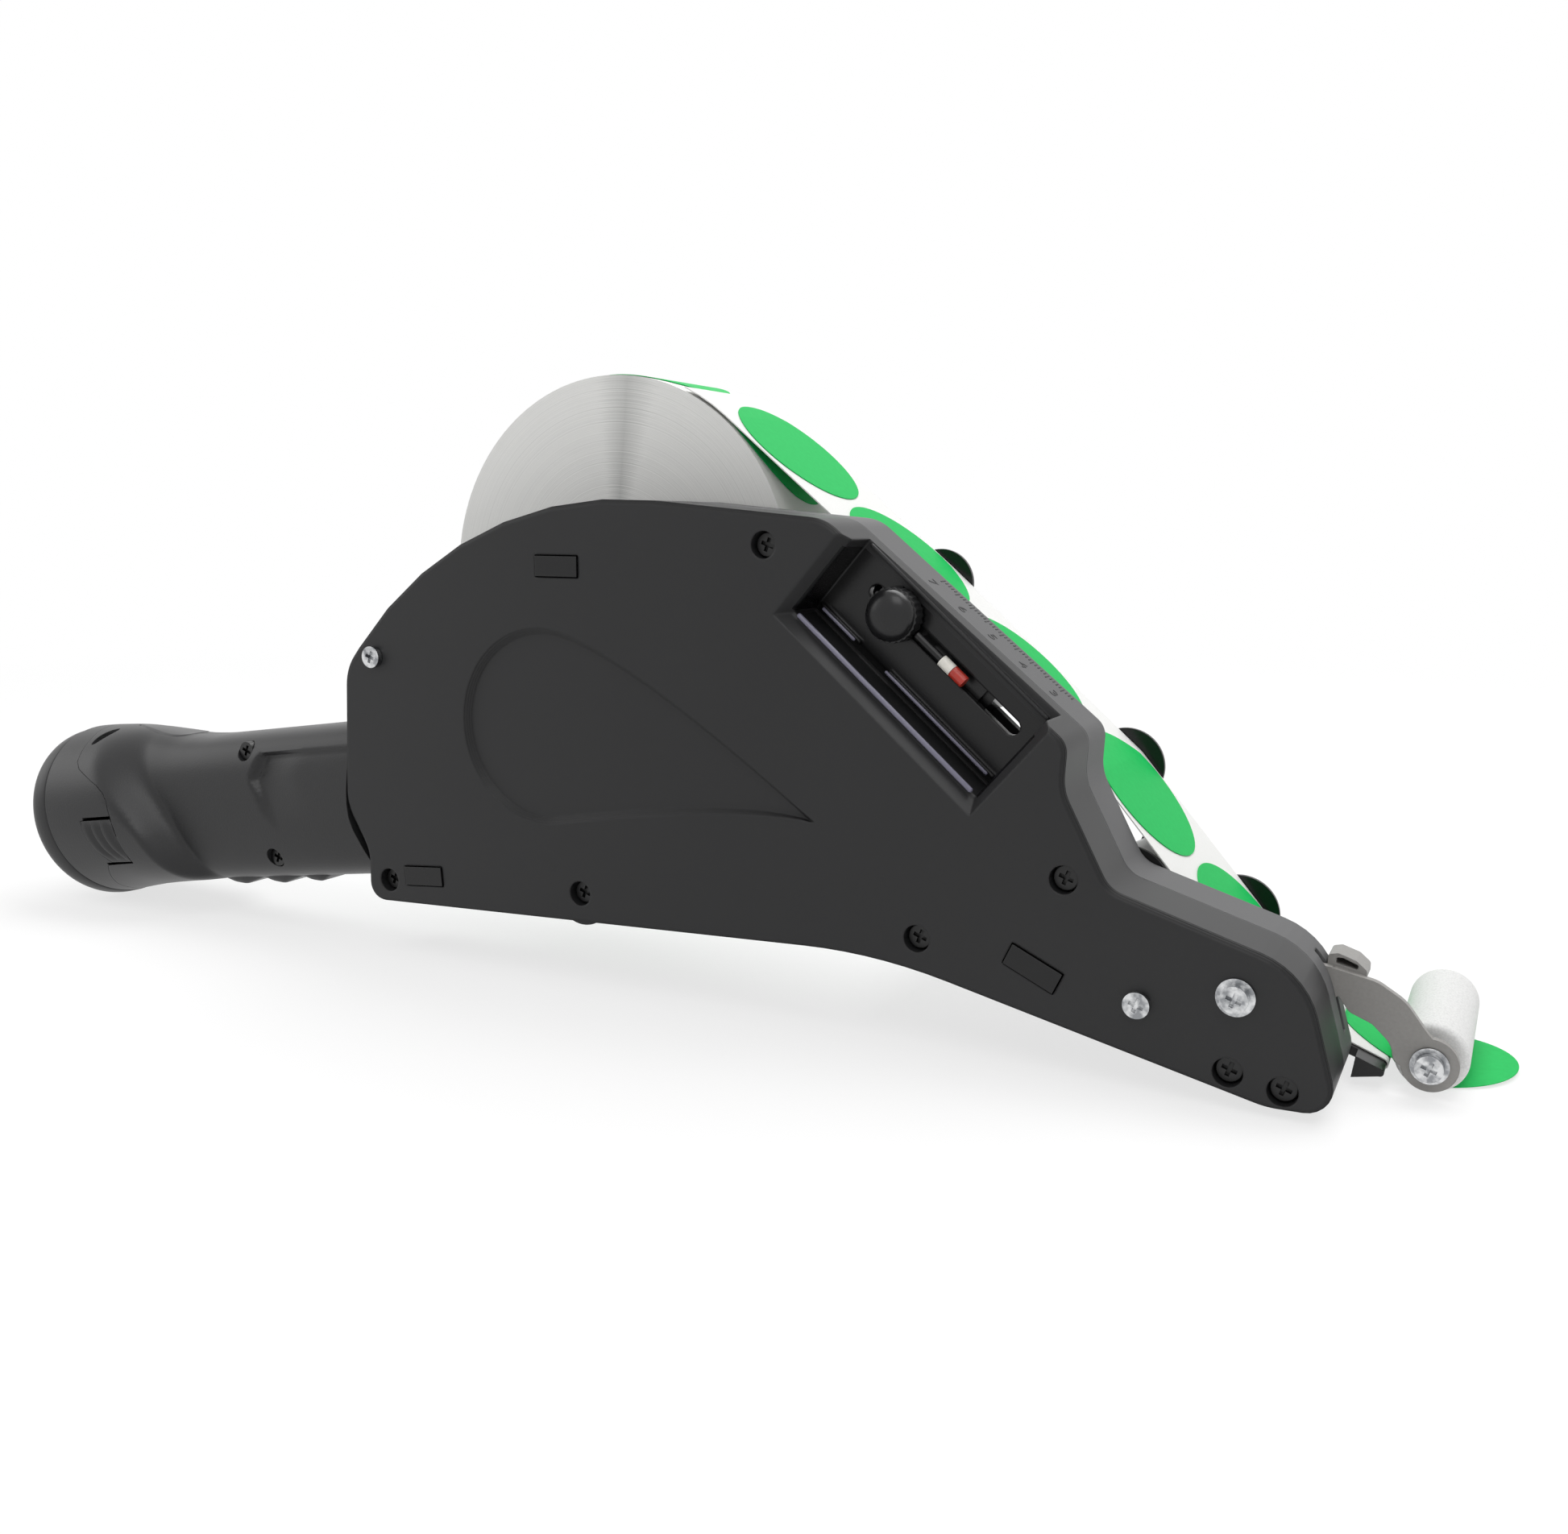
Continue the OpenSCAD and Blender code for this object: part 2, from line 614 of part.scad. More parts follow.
pinion_phase = pinion_a + 180 + 180 / pinion_teeth;
motor_shaft_d = 3;
module drive_gear() color("#d9d7cf") placed()
    gear(drive_c, drive_teeth, gear_y, gear_w, drive_shaft_d + 2 * seat, drive_phase);
module motor_pinion() color("#d9d7cf") placed()
    gear(pinion_c, pinion_teeth, gear_y, gear_w, motor_shaft_d + 2 * seat, pinion_phase);

// Gear motor: worm gearbox with the motor lying towards the rear
gearbox_l = 22;
gearbox_h = 17.4;
gearbox_d = 15;
gearbox_back = gearbox_l * 0.6;
motor_nose_d = motor_d * 0.4;
motor_nose_l = 2;
motor_y = face_t + motor_d / 2 + over * 2;
module gear_motor() color("#9a9da1") placed() {
    translate([pinion_c[0] - gearbox_back, gear_y - gearbox_d - over, pinion_c[1] - gearbox_h / 2])
        cube([gearbox_l, gearbox_d, gearbox_h]);
    rod(pinion_c, gear_y - over - seat, gear_w + over, motor_shaft_d);
    translate([pinion_c[0] - gearbox_back - motor_l, motor_y, pinion_c[1]]) rotate([0, 90, 0]) {
        cylinder(h = motor_l, d = motor_d, $fn = 64);
        translate([0, 0, -motor_nose_l]) cylinder(h = motor_nose_l + over, d = motor_nose_d, $fn = 32);
    }
}

strap_w = 8;
strap_t = 2;
strap_share = 0.6;
module motor_clamp() color("#1f2021") placed() {
    x0 = pinion_c[0] - gearbox_back - motor_l * strap_share;
    difference() {
        union() {
            translate([x0, motor_y, pinion_c[1]]) rotate([0, 90, 0])
                cylinder(h = strap_w, d = motor_d + 2 * strap_t, $fn = 64);
            translate([x0, motor_y, pinion_c[1] - motor_d / 2 - strap_t])
                cube([strap_w, body_d - back_t - seat - motor_y, motor_d + 2 * strap_t]);
        }
        translate([x0 - over, motor_y, pinion_c[1]]) rotate([0, 90, 0])
            cylinder(h = strap_w + 2 * over, d = motor_d + 2 * seat, $fn = 64);
        translate([x0 - over, motor_y + motor_d / 2, pinion_c[1] - motor_d / 2])
            cube([strap_w + 2 * over, body_d, motor_d]);
        translate([x0 - over, 0, pinion_c[1] - motor_d])
            cube([strap_w + 2 * over, face_t + teardrop_d + gap, motor_d * 2]);
    }
}

// Pinch roller in a yoke under the drive roller
pinch_a = -94;
pinch_c = polar(drive_c, drive_d / 2 + pinch_d / 2 + web_t + 2 * seat, pinch_a);
pinch_l = 21;
pinch_axle_d = 4;
pinch_pin_c = pinch_c + [cover_l * 0.062, -pinch_d * 0.09];
yoke_t = 2.4;
yoke_h = 7;
yoke_bar_h = 5.4;
yoke_tie_l = 4.6;
yoke_tie_back = 10;
module pinch_roller() color("#242526") placed() {
    rod(pinch_c, web_mid - pinch_l / 2, pinch_l, pinch_d);
    rod(pinch_c, web_mid - pinch_l / 2 - yoke_t - gap, pinch_l + 2 * yoke_t + 2 * gap, pinch_axle_d);
}
module yoke_cheek(y) {
    slab(y, yoke_t) difference() {
        union() {
            translate(pinch_c) circle(d = yoke_h, $fn = 48);
            translate(pinch_pin_c) circle(d = yoke_h + over, $fn = 48);
            translate(pinch_pin_c) rotate(atan2(pinch_c[1] - pinch_pin_c[1], pinch_c[0] - pinch_pin_c[0]))
                translate([0, -yoke_bar_h / 2]) square([norm(pinch_c - pinch_pin_c), yoke_bar_h]);
        }
        translate(pinch_c) circle(d = pinch_axle_d + 2 * bush, $fn = 48);
        translate(pinch_pin_c) circle(d = axle_d + 2 * bush, $fn = 48);
    }
}
module pinch_yoke() color("#3a3b3d") placed() {
    for (y = [web_mid - pinch_l / 2 - gap - yoke_t, web_mid + pinch_l / 2 + gap]) yoke_cheek(y);
    translate([pinch_pin_c[0] - yoke_tie_back, web_mid - pinch_l / 2 - gap - over / 2,
        pinch_pin_c[1] - yoke_bar_h / 4])
        cube([yoke_tie_l, pinch_l + 2 * gap + over, yoke_bar_h / 2]);
}
module pinch_pin() color("#a7abaf") placed() {
    side = pinch_l / 2 + yoke_t + 2 * gap;
    rod(pinch_pin_c, axle_y, web_mid + side - axle_y, axle_d);
    rod(pinch_pin_c, web_mid + side, axle_end_t, axle_end_d);
    tube(pinch_pin_c, body_d + gap, web_mid - side - gap - body_d, axle_end_d, axle_d - over);
}

// Bare paper on its way back from the peel edge to the nip
tail_r = 60;
tail_c = drive_c - [drive_d / 2, drive_d / 2 + seat + tail_r];
liner_circles = [[tip_c, peel_r + seat], [guide_c[2], guide_d / 2 + seat],
    [liner_c, -guide_d / 2 - seat - web_t], [drive_c, drive_d / 2 + seat], [tail_c, -tail_r]];
tail_a = -60;
tail_lag = 8;
liner_start = web_last - tail_lag;
liner_in = strip_path(liner_circles, liner_start, tail_a);
liner_out = strip_path(thicker(liner_circles, web_t), liner_start, tail_a);
module waste_liner() color("#f4f3ef") placed()
    slab(web_y, web_w) polygon(concat(liner_in, reversed(liner_out)));

// Peel plate under the web, with a cheek that shows at the nose
web_run = tangent_angle(web_circles[4], web_circles[5]) - 90;
plate_l = 24;
plate_back_t = 2.4;
plate_lap = 2.4;
cheek_l = 6;
cheek_h = 2.1;
peel_foot_a = -100;
peel_top = polar(tip_c, peel_r, web_run + 90);
peel_foot = polar(tip_c, peel_r, peel_foot_a);
peel_turn = web_run + 90 - peel_foot_a;
peel_edge = [for (i = [0 : steps]) polar(tip_c, peel_r, peel_foot_a + peel_turn * i / steps)];
module peel_plate() color("#1b1c1d") placed() {
    slab(web_y - gap, web_w + gap) polygon(concat(peel_edge, [polar(peel_top, -plate_l, web_run),
        polar(polar(peel_top, -plate_back_t, web_run + 90), -plate_l, web_run)]));
    slab(arm_y + arm_t + gap, body_d - arm_y - arm_t) difference() {
        union() {
            translate(tip_c) circle(r = peel_r, $fn = 32);
            polygon([peel_top, polar(peel_top, -cheek_l, web_run), tip_c - [cheek_l, cheek_h], peel_foot]);
        }
        polygon(rounded(inset(outline, -2 * gap)));
    }
    slab(body_d + seat, web_gap - seat - gap) polygon([peel_top,
        polar(peel_top, -plate_l - plate_lap, web_run),
        polar(polar(tip_c, -cheek_h, web_run + 90), -plate_l - plate_lap, web_run), peel_foot]);
}

// Clear guide that keeps the web down on the plate
holddown_t = 1.2;
finger_l = 13;
holddown_w = web_w * 0.6;
module web_holddown() color("#e8eef0") placed() {
    c = at_share(holddown_share);
    r = holddown_r - web_t - label_t - 4 * seat;
    a0 = tangent_angle(web_circles[3], web_circles[4]) + 180;
    a1 = web_run + 270;
    slab(body_d + seat, holddown_w) polygon(concat(
        [for (i = [0 : steps]) polar(c, r, a0 + (a1 - a0) * i / steps)],
        [polar(polar(c, r, a1), finger_l, web_run), polar(polar(c, r - holddown_t, a1), finger_l, web_run)],
        [for (i = [steps : -1 : 0]) polar(c, r - holddown_t, a0 + (a1 - a0) * i / steps)]));
}

// Bracket of the foam roller: an arm that leaves the housing, with a folded pocket on its top
arm_space = 3;
foam_y = arm_y + arm_t + arm_space;
foam_far = foam_y + foam_l;
arm_shares = [[0.975, 0.212, 0.005], [0.991, 0.205, 0.03], [1.012, 0.196, 0.06], [1.034, 0.168, 0.08],
    [1.052, 0.118, 0.08], [1.0725, 0.078, 0.01], [1.052, 0.042, 0.01], [1.0265, 0.062, 0.02],
    [1.0270, 0.088, 0.04], [1.010, 0.122, 0.03], [0.992, 0.137, 0.02], [0.982, 0.165, 0.01]];
inner_arm_shares = [[0.820, 0.190, 0.02], [0.900, 0.225, 0.02], [0.977, 0.212, 0.004], [0.985, 0.165, 0.01],
    [0.945, 0.115, 0.02], [0.880, 0.130, 0.02], [0.820, 0.128, 0.02]];
pocket_shares = [[0.9722, 0.198, 0.004], [0.9722, 0.230, 0.006], [0.980, 0.234, 0.008],
    [0.994, 0.2245, 0.012], [1.0028, 0.209, 0.008], [1.0028, 0.192, 0.004]];
pocket_hole_shares = [[0.9786, 0.2162, 0.002], [0.9788, 0.2260, 0.002], [0.984, 0.2265, 0.004],
    [0.9962, 0.2165, 0.003], [0.9955, 0.2085, 0.003]];
pocket_l = 8;
foam_axle_d = 5;
arm_screw_d = 2.6;
module arm_profile() {
    difference() {
        union() {
            polygon(rounded(scaled_shares(arm_shares)));
            translate(foam_c) circle(d = arm_end_d, $fn = 64);
        }
        translate(foam_c) circle(d = arm_screw_d + 2 * seat, $fn = 48);
    }
}
// Slot in the frame that the arm and its pocket come out through: shares of length and height
slot_shares = [0.94, 1.02, 0.10, 0.237];
module arm_slot() {
    translate([slot_shares[0] * cover_l, arm_y - gap, slot_shares[2] * cover_h])
        cube([(slot_shares[1] - slot_shares[0]) * cover_l, arm_t + 2 * gap,
            (slot_shares[3] - slot_shares[2]) * cover_h]);
    slab(arm_y, body_d) polygon(rounded(inset(scaled_shares(pocket_shares), -gap)));
}
module nose_bracket() color("#7d8083") placed() {
    slab(arm_y, arm_t) difference() {
        union() {
            arm_profile();
            polygon(rounded(scaled_shares(inner_arm_shares)));
        }
        for (c = [arm_c, flange_c]) translate(c) circle(d = shank_d + 2 * seat, $fn = 48);
    }
    difference() {
        slab(arm_y + arm_t - seat, pocket_l) polygon(rounded(scaled_shares(pocket_shares)));
        slab(arm_y, pocket_l) polygon(rounded(scaled_shares(pocket_hole_shares)));
    }
}

sleeve_d = 9;
axle_head_d = 11;
axle_head_t = 1.6;
axle_screw_l = 7;
module foam_roller() color("#f3f3f1") placed()
    tube(foam_c, foam_y, foam_l, foam_d, sleeve_d + 2 * seat);
module foam_sleeve() color("#d6d7d8") placed()
    tube(foam_c, foam_y - gap, foam_l + 2 * gap, sleeve_d, foam_axle_d + 2 * bush);
module foam_axle() color("#b9bcc0") placed() difference() {
    union() {
        rod(foam_c, arm_y + arm_t + seat, foam_far + 2 * gap - arm_y - arm_t + seat, foam_axle_d);
        rod(foam_c, foam_far + 2 * gap, axle_head_t, axle_head_d);
    }
    rod(foam_c, arm_y, axle_screw_l + arm_t + seat, arm_screw_d + 2 * seat);
}
module arm_screws() color("#c3c6c9") placed() {
    screw([foam_c[0], arm_y - washer_t - 2 * seat, foam_c[1]], 1, arm_screw_d, axle_screw_l, pan_d, pan_h);
    tube(foam_c, arm_y - washer_t - seat, washer_t, washer_d, arm_screw_d + 2 * seat);
}

// Pan-head screw with a cross recess; side 1 points its shank along +Y
pan_d = 6;
pan_h = 2;
washer_d = 8.2;
washer_t = 0.6;
cross_l = 3.4;
cross_w = 0.9;
cross_d = 1.1;
cross_a = 20;
low_pan_h = 1.6;
collar_seat = 0.05;
module screw(p, side, d, l, head_d, head_h) {
    translate(p) rotate([-90 * side, 0, 0]) {
        difference() {
            translate([0, 0, -head_h]) cylinder(h = head_h, d = head_d, $fn = 48);
            for (a = [0, 90]) rotate(a + cross_a) translate([-cross_l / 2, -cross_w / 2, -head_h - over])
                cube([cross_l, cross_w, cross_d + over]);
        }
        cylinder(h = l, d = d, $fn = 32);
    }
}
cover_head_d = 5.6;
cover_head_h = 2.2;
module cover_screws() color("#19191a") placed() for (c = screw_wells)
    screw([c[0], well_h - seat, c[1]], 1, shank_d, shank_l, cover_head_d, cover_head_h);

flange_head_d = 8.4;
module bright_screws() color("#c3c6c9") placed() {
    for (c = [rear_c, arm_c])
        screw([c[0], -seat, c[1]], 1, shank_d, body_d - back_t - gap, pan_d, low_pan_h);
    screw([flange_c[0], -seat - washer_t, flange_c[1]], 1, shank_d, body_d - back_t - gap, pan_d, pan_h);
    tube(flange_c, collar_seat - seat - washer_t, washer_t - collar_seat, flange_head_d, shank_d + seat);
}

// Snap tabs of the frame that show in the cover's face
module snap_tabs() color("#19191a") placed() {
    slab(-clip_proud, clip_proud + clip_d) clip_shape(0);
}

// Circuit board on four posts
board_l = 62;
board_h = 38;
board_t = 1.6;
board_back = 6;
board_y = body_d - back_t - board_back;
board_share = [0.20, 0.30];
board_hole_shares = [[0.07, 0.1], [0.93, 0.1], [0.07, 0.9], [0.93, 0.9]];
post_d = 5;
module at_board() {
    translate([board_share[0] * cover_l, board_y, board_share[1] * cover_h]) children();
}
module control_board() color("#1f5b3a") placed() {
    at_board() cube([board_l, board_t, board_h]);
}
module board_posts() color("#c9c6bd") placed() at_board() for (h = board_hole_shares)
    translate([h[0] * board_l, board_t + seat, h[1] * board_h]) rotate([-90, 0, 0])
        cylinder(h = body_d - back_t - board_y - board_t - 2 * seat, d = post_d, $fn = 32);
// Chips: share of length, share of height, length share, height share, thickness share
chip_shares = [[0.16, 0.30, 0.24, 0.36, 0.9], [0.50, 0.16, 0.12, 0.22, 1.1], [0.50, 0.56, 0.18, 0.26, 0.8],
    [0.76, 0.20, 0.14, 0.30, 2.6], [0.78, 0.62, 0.12, 0.24, 2.2]];
module board_chips() color("#1c1c1e") placed() at_board() for (c = chip_shares)
    translate([c[0] * board_l, -seat - c[4] * board_t, c[1] * board_h])
        cube([c[2] * board_l, c[4] * board_t, c[3] * board_h]);

// Sensor that slides along the slot and reads the labels on the web
window_w = 9.6;
carriage_t = 2.4;
carriage_y = tray_d + floor_t + gap;
carriage_l = tray_l * 0.46;
carriage_w = 8.4;
stem_d = 3.2;
fork_u = carriage_u + carriage_l * 0.62;
fork_l = 11;
fork_w = 8.4;
fork_bite = 6.5;
fork_slot_h = 12 * label_t;
fork_slot_y = web_y - 3 * over;
stem_proud = 0.6;
module uv_box(u, y, v, l, t, w) {
    in_tray() translate([u, y, v]) cube([l, t, w]);
}
module sensor_carriage() color("#232425") placed() difference() {
    union() {
        uv_box(carriage_u - stem_d, carriage_y, slot_v - carriage_w / 2, carriage_l, carriage_t, carriage_w);
        in_tray() translate([carriage_u, carriage_y + over, slot_v]) rotate([90, 0, 0])
            cylinder(h = carriage_y + over - tray_d + stem_proud, d = stem_d, $fn = 32);
        uv_box(fork_u, carriage_y + carriage_t - over, slot_v - fork_w / 2,
            fork_l, web_y - gap - carriage_y - carriage_t + over, fork_w);
    }
    uv_box(fork_u - over, fork_slot_y, slot_v - fork_slot_h / 2, fork_l + 2 * over, 4 * over, fork_slot_h);
}
module sensor_fork() color("#17181a") placed() difference() {
    uv_box(fork_u, web_y - gap + seat, slot_v - fork_w / 2, fork_l, fork_bite, fork_w);
    uv_box(fork_u - over, web_y - over, slot_v - fork_slot_h / 2, fork_l + 2 * over, fork_bite + 2 * over,
        fork_slot_h);
}
// Feeler that lies in the slot: lead, sleeve and red tip
feeler_d = 3;
lead_d = 2.1;
lead_root_l = 3;
lead_root_w = 1.2;
feeler_shares = [0.127, 0.055, 0.060];
feeler_ends = [for (i = [0 : 2]) feeler_shares[i] * tray_l];
feeler_y = tray_d - feeler_d / 2;
module feeler_piece(from, l, d) {
    in_tray() translate([from, feeler_y, slot_v]) rotate([0, 90, 0]) cylinder(h = l - seat, d = d, $fn = 40);
}
feeler_u = carriage_u + knob_d / 2 + gap + seat;
module sensor_lead() color("#242526") placed() {
    feeler_piece(feeler_u, feeler_ends[0], lead_d);
    uv_box(feeler_u + over, feeler_y, slot_v - lead_root_w / 2, lead_root_l, carriage_y - feeler_y - seat,
        lead_root_w);
}
module sensor_sleeve() color("#e9e7e0") placed()
    feeler_piece(feeler_u + feeler_ends[0], feeler_ends[1], feeler_d);
module sensor_tip() color("#c8382c") placed()
    feeler_piece(feeler_u + feeler_ends[0] + feeler_ends[1], feeler_ends[2], feeler_d);

// Clamp knob: ribbed skirt and domed front
knob_ribs = 30;
rib_d = 0.9;
skirt_h = knob_h * 0.58;
dome_d = knob_d * 0.87;
dome_r = knob_d * 0.92;
knob_bore_h = knob_h * 0.3;
module sensor_knob() color("#1d1e1f") placed() in_tray()
    translate([carriage_u, tray_d - gap, slot_v]) rotate([90, 0, 0]) difference() {
        union() {
            cylinder(h = skirt_h, d = knob_d - rib_d, $fn = 72);
            for (i = [1 : knob_ribs]) rotate(i * 360 / knob_ribs) translate([knob_d / 2 - rib_d / 2, 0, 0])
                cylinder(h = skirt_h - seat, d = rib_d, $fn = 16);
            intersection() {
                cylinder(h = knob_h, d = dome_d, $fn = 72);
                translate([0, 0, knob_h - dome_r]) sphere(r = dome_r, $fn = 72);
            }
        }
        translate([0, 0, -over]) cylinder(h = over + knob_bore_h, d = stem_d + 2 * seat, $fn = 32);
    }

// Handle sections at shares of its length: half width, top and bottom as shares of the ring's radius
ring_r = butt_d / 2;
grip_top = grip_h * 0.469;
grip_foot = grip_h - grip_top;
section_shares = [[0.0, 1.0, 1.0, 1.0], [0.10, 0.985, 0.975, 0.95], [0.18, 0.93, 0.93, 0.915],
    [0.27, 0.80, 0.865, 0.89], [0.36, 0.675, 0.79, 0.87], [0.45, 0.615, 0.763, 0.865],
    [0.80, 0.605, 0.763, 0.865], [1.02, 0.607, 0.765, 0.866]];
round_shares = [1, 0.97, 0.90, 0.80, 0.72, 0.68, 0.66, 0.64];
grip_room = ring_r * section_shares[5][1] - grip_t;
ring_points = 40;
section_n = len(section_shares);
function section(i, wall, ahead) = let (s = section_shares[i], e = round_shares[i],
        x = s[0] * grip_l + (i == 0 ? -ahead : i == section_n - 1 ? ahead : 0),
        w = s[1] * ring_r - wall, top = s[2] * ring_r - wall, low = s[3] * ring_r - wall)
    [for (k = [0 : ring_points - 1]) let (a = -k * 360 / ring_points, c = cos(a), q = sin(a))
        [x, w * sign(c) * pow(abs(c), e), (q > 0 ? top : low) * sign(q) * pow(abs(q), e)]];
module grip_skin(wall, ahead = 0) {
    skin([for (i = [0 : section_n - 1]) section(i, wall, ahead)]);
}
// Border of battery and grip in the side view, from the top: share of the grip's length, share of
// the ring's radius
border_shares = [[0.036, 1.1], [0.036, 0.99], [0.063, 0.88], [0.082, 0.654], [0.103, 0.564], [0.192, 0.364],
    [0.219, 0.264], [0.237, 0.05], [0.262, -0.545], [0.150, -0.56], [0.110, -0.72], [0.09, -0.82],
    [0.066, -0.99], [0.066, -1.1]];
stem_u = 0.154 * grip_l;
module battery_side(g) {
    rotate([90, 0, 0]) linear_extrude(4 * ring_r, center = true)
        polygon(concat([for (b = border_shares) [b[0] * grip_l + g, b[1] * ring_r]],
            [[-2 * ring_r, -1.1 * ring_r], [-2 * ring_r, 1.1 * ring_r]]));
}
plug_in = 5.6;
plug_l = 9.4;
plug_h = 44;
plug_w = 26.6;
module grip_body() {
    difference() {
        in_handle() difference() {
            grip_skin(0);
            grip_skin(grip_t, over);
            battery_side(0);
        }
        cover_room();
    }
    difference() {
        translate([-plug_in, mid_y - plug_w / 2, socket_z + gap + over])
            cube([plug_in + plug_l, plug_w, plug_h]);
        translate([-plug_in - over, mid_y - plug_w / 2 + grip_t, socket_z + gap + over + grip_t])
            cube([plug_in + plug_l + 2 * over, plug_w - 2 * grip_t, plug_h - 2 * grip_t]);
    }
}
// Room of the housing's rear end
module cover_room() {
    slab(-ring_r, ring_r * 4) polygon(rounded(inset(outline, -gap)));
}
grip_screw_shares = [[0.655, 0.58], [0.71, -0.59]];
function grip_pt(s) = handle_pt(s[0] * grip_l, s[1] * ring_r);
grip_well_d = 6;
grip_well_h = 5;
boss_y = 2;
module grip_cuts() {
    in_handle() {
        pad_block(ring_r / 2, ring_r, gap);
        translate([trigger_u - gap, -trigger_w / 2 - gap, -ring_r * 1.5])
            cube([trigger_l + 2 * gap, trigger_w + 2 * gap, ring_r]);
    }
}
module grip_bosses(y, t) {
    for (s = grip_screw_shares) rod(grip_pt(s), y, t, grip_well_d + grip_t);
}
module grip_near() color("#262729") placed() difference() {
    union() {
        intersection() {
            grip_body();
            translate([-cover_l, -cover_l, -cover_l])
                cube([cover_l * 2, cover_l + mid_y - seat / 2, cover_l * 2]);
        }
        grip_bosses(boss_y, mid_y - boss_y - seat / 2);
        rod(trigger_pin_c, boss_y, mid_y - trigger_w / 2 - spring_w - 2 * gap - boss_y, trigger_boss_d);
    }
    rod(trigger_pin_c, mid_y - trigger_pin_l / 2 - seat, trigger_pin_l, trigger_pin_d + 2 * seat);
    grip_cuts();
    for (s = grip_screw_shares) {
        rod(grip_pt(s), -ring_r, grip_well_h + ring_r, grip_well_d);
        rod(grip_pt(s), 0, body_d, shank_d + 2 * gap);
    }
}
module grip_far() color("#262729") placed() difference() {
    union() {
        intersection() {
            grip_body();
            translate([-cover_l, mid_y + seat / 2, -cover_l]) cube([cover_l * 2, cover_l, cover_l * 2]);
        }
        grip_bosses(mid_y + seat / 2, mid_y - boss_y);
        rod(trigger_pin_c, mid_y + trigger_w / 2 + gap, mid_y - trigger_w / 2 - gap - boss_y, trigger_boss_d);
        in_handle() translate([switch_u, switch_w / 2 + seat, switch_n])
            cube([switch_l, grip_room - switch_w / 2, switch_h]);
    }
    rod(trigger_pin_c, mid_y, trigger_pin_l / 2 + seat, trigger_pin_d + 2 * seat);
    grip_cuts();
    for (s = grip_screw_shares) rod(grip_pt(s), 0, mid_y + grip_screw_l, shank_d + 2 * seat);
}
grip_screw_l = 9;
module grip_screws() color("#19191a") placed() for (s = grip_screw_shares) let (c = grip_pt(s))
    screw([c[0], grip_well_h - seat, c[1]], 1, shank_d, mid_y + grip_screw_l - grip_well_h - gap,
        grip_well_d - 2 * gap, cover_head_h);

// Thumb button on top of the bulge
pad_u = grip_l * 0.125;
pad_l = grip_l * 0.236;
pad_w = 13.6;
pad_t = 3.4;
pad_n = ring_r * 0.62;
// Outline seen from above: share of its length, share of its width, corner radius
pad_shares = [[0, 0, 1.2], [0.78, 0.5, 6], [1, 0.26, 3], [1, -0.26, 3], [0.78, -0.5, 6]];
pad_outline = [for (v = pad_shares) [pad_u + v[0] * pad_l, v[1] * pad_w, v[2]]];
module pad_block(n, h, g) {
    translate([0, 0, n]) linear_extrude(h) polygon(rounded(inset(pad_outline, -g)));
}
module power_button() color("#3c3d40") placed() in_handle() intersection() {
    pad_block(pad_n, ring_r / 2, 0);
    difference() {
        grip_skin(-gap);
        grip_skin(pad_t, over);
    }
}

// Trigger: long lever with finger waves, pivoting at its front end
trigger_u = grip_l * 0.375;
trigger_top = -ring_r * 0.865 + grip_t + gap;
trigger_skin = 0.6;
pivot_inset = 3;
pivot_rise = 2.4;
wave_shares = [[0.0, -0.10], [0.06, 0.55], [0.13, 0.95], [0.24, 0.70], [0.34, 0.55], [0.37, 1.0],
    [0.42, 1.12], [0.54, 0.78], [0.66, 0.55], [0.69, 1.0], [0.74, 1.08], [0.86, 0.72], [0.96, 0.42],
    [1.0, 0.1]];
wave_h = 4.1;
module trigger() color("#3c3d40") placed() difference() {
    in_handle() translate([0, trigger_w / 2, 0]) rotate([90, 0, 0]) linear_extrude(trigger_w) {
        polygon(concat([for (w = wave_shares)
            [trigger_u + w[0] * trigger_l, trigger_top - trigger_skin - w[1] * wave_h]],
            [[trigger_u + trigger_l, trigger_top], [trigger_u, trigger_top]]));
        translate([trigger_u + trigger_l - pivot_inset, trigger_top + pivot_rise])
            circle(r = pivot_inset, $fn = 40);
    }
    rod(trigger_pin_c, 0, body_d, trigger_pin_d + 2 * bush);
}
trigger_pin_d = 3;
trigger_pin_l = 22;
trigger_boss_d = 6;
trigger_pin_c = handle_pt(trigger_u + trigger_l - pivot_inset, trigger_top + pivot_rise);
module trigger_pin() color("#b9bcc0") placed()
    rod(trigger_pin_c, mid_y - trigger_pin_l / 2, trigger_pin_l, trigger_pin_d);
switch_l = 12;
switch_w = 6;
switch_h = 7;
switch_u = trigger_u + trigger_l * 0.42;
switch_rise = 2.4;
switch_n = trigger_top + switch_rise;
switch_key_l = 2.4;
module trigger_switch() color("#151516") placed() in_handle() {
    translate([switch_u, -switch_w / 2, switch_n]) cube([switch_l, switch_w, switch_h]);
    translate([switch_u + switch_key_l, -switch_w / 4, switch_n - over])
        cube([switch_key_l, switch_w / 2, over + seat]);
}

// Return spring wound round the pivot, with one leg along the lever
spring_d = 5;
spring_w = 2.2;
module trigger_spring() color("#c3c6c9") placed()
    tube(trigger_pin_c, mid_y - trigger_w / 2 - spring_w - gap, spring_w, spring_d, trigger_pin_d + 2 * seat);

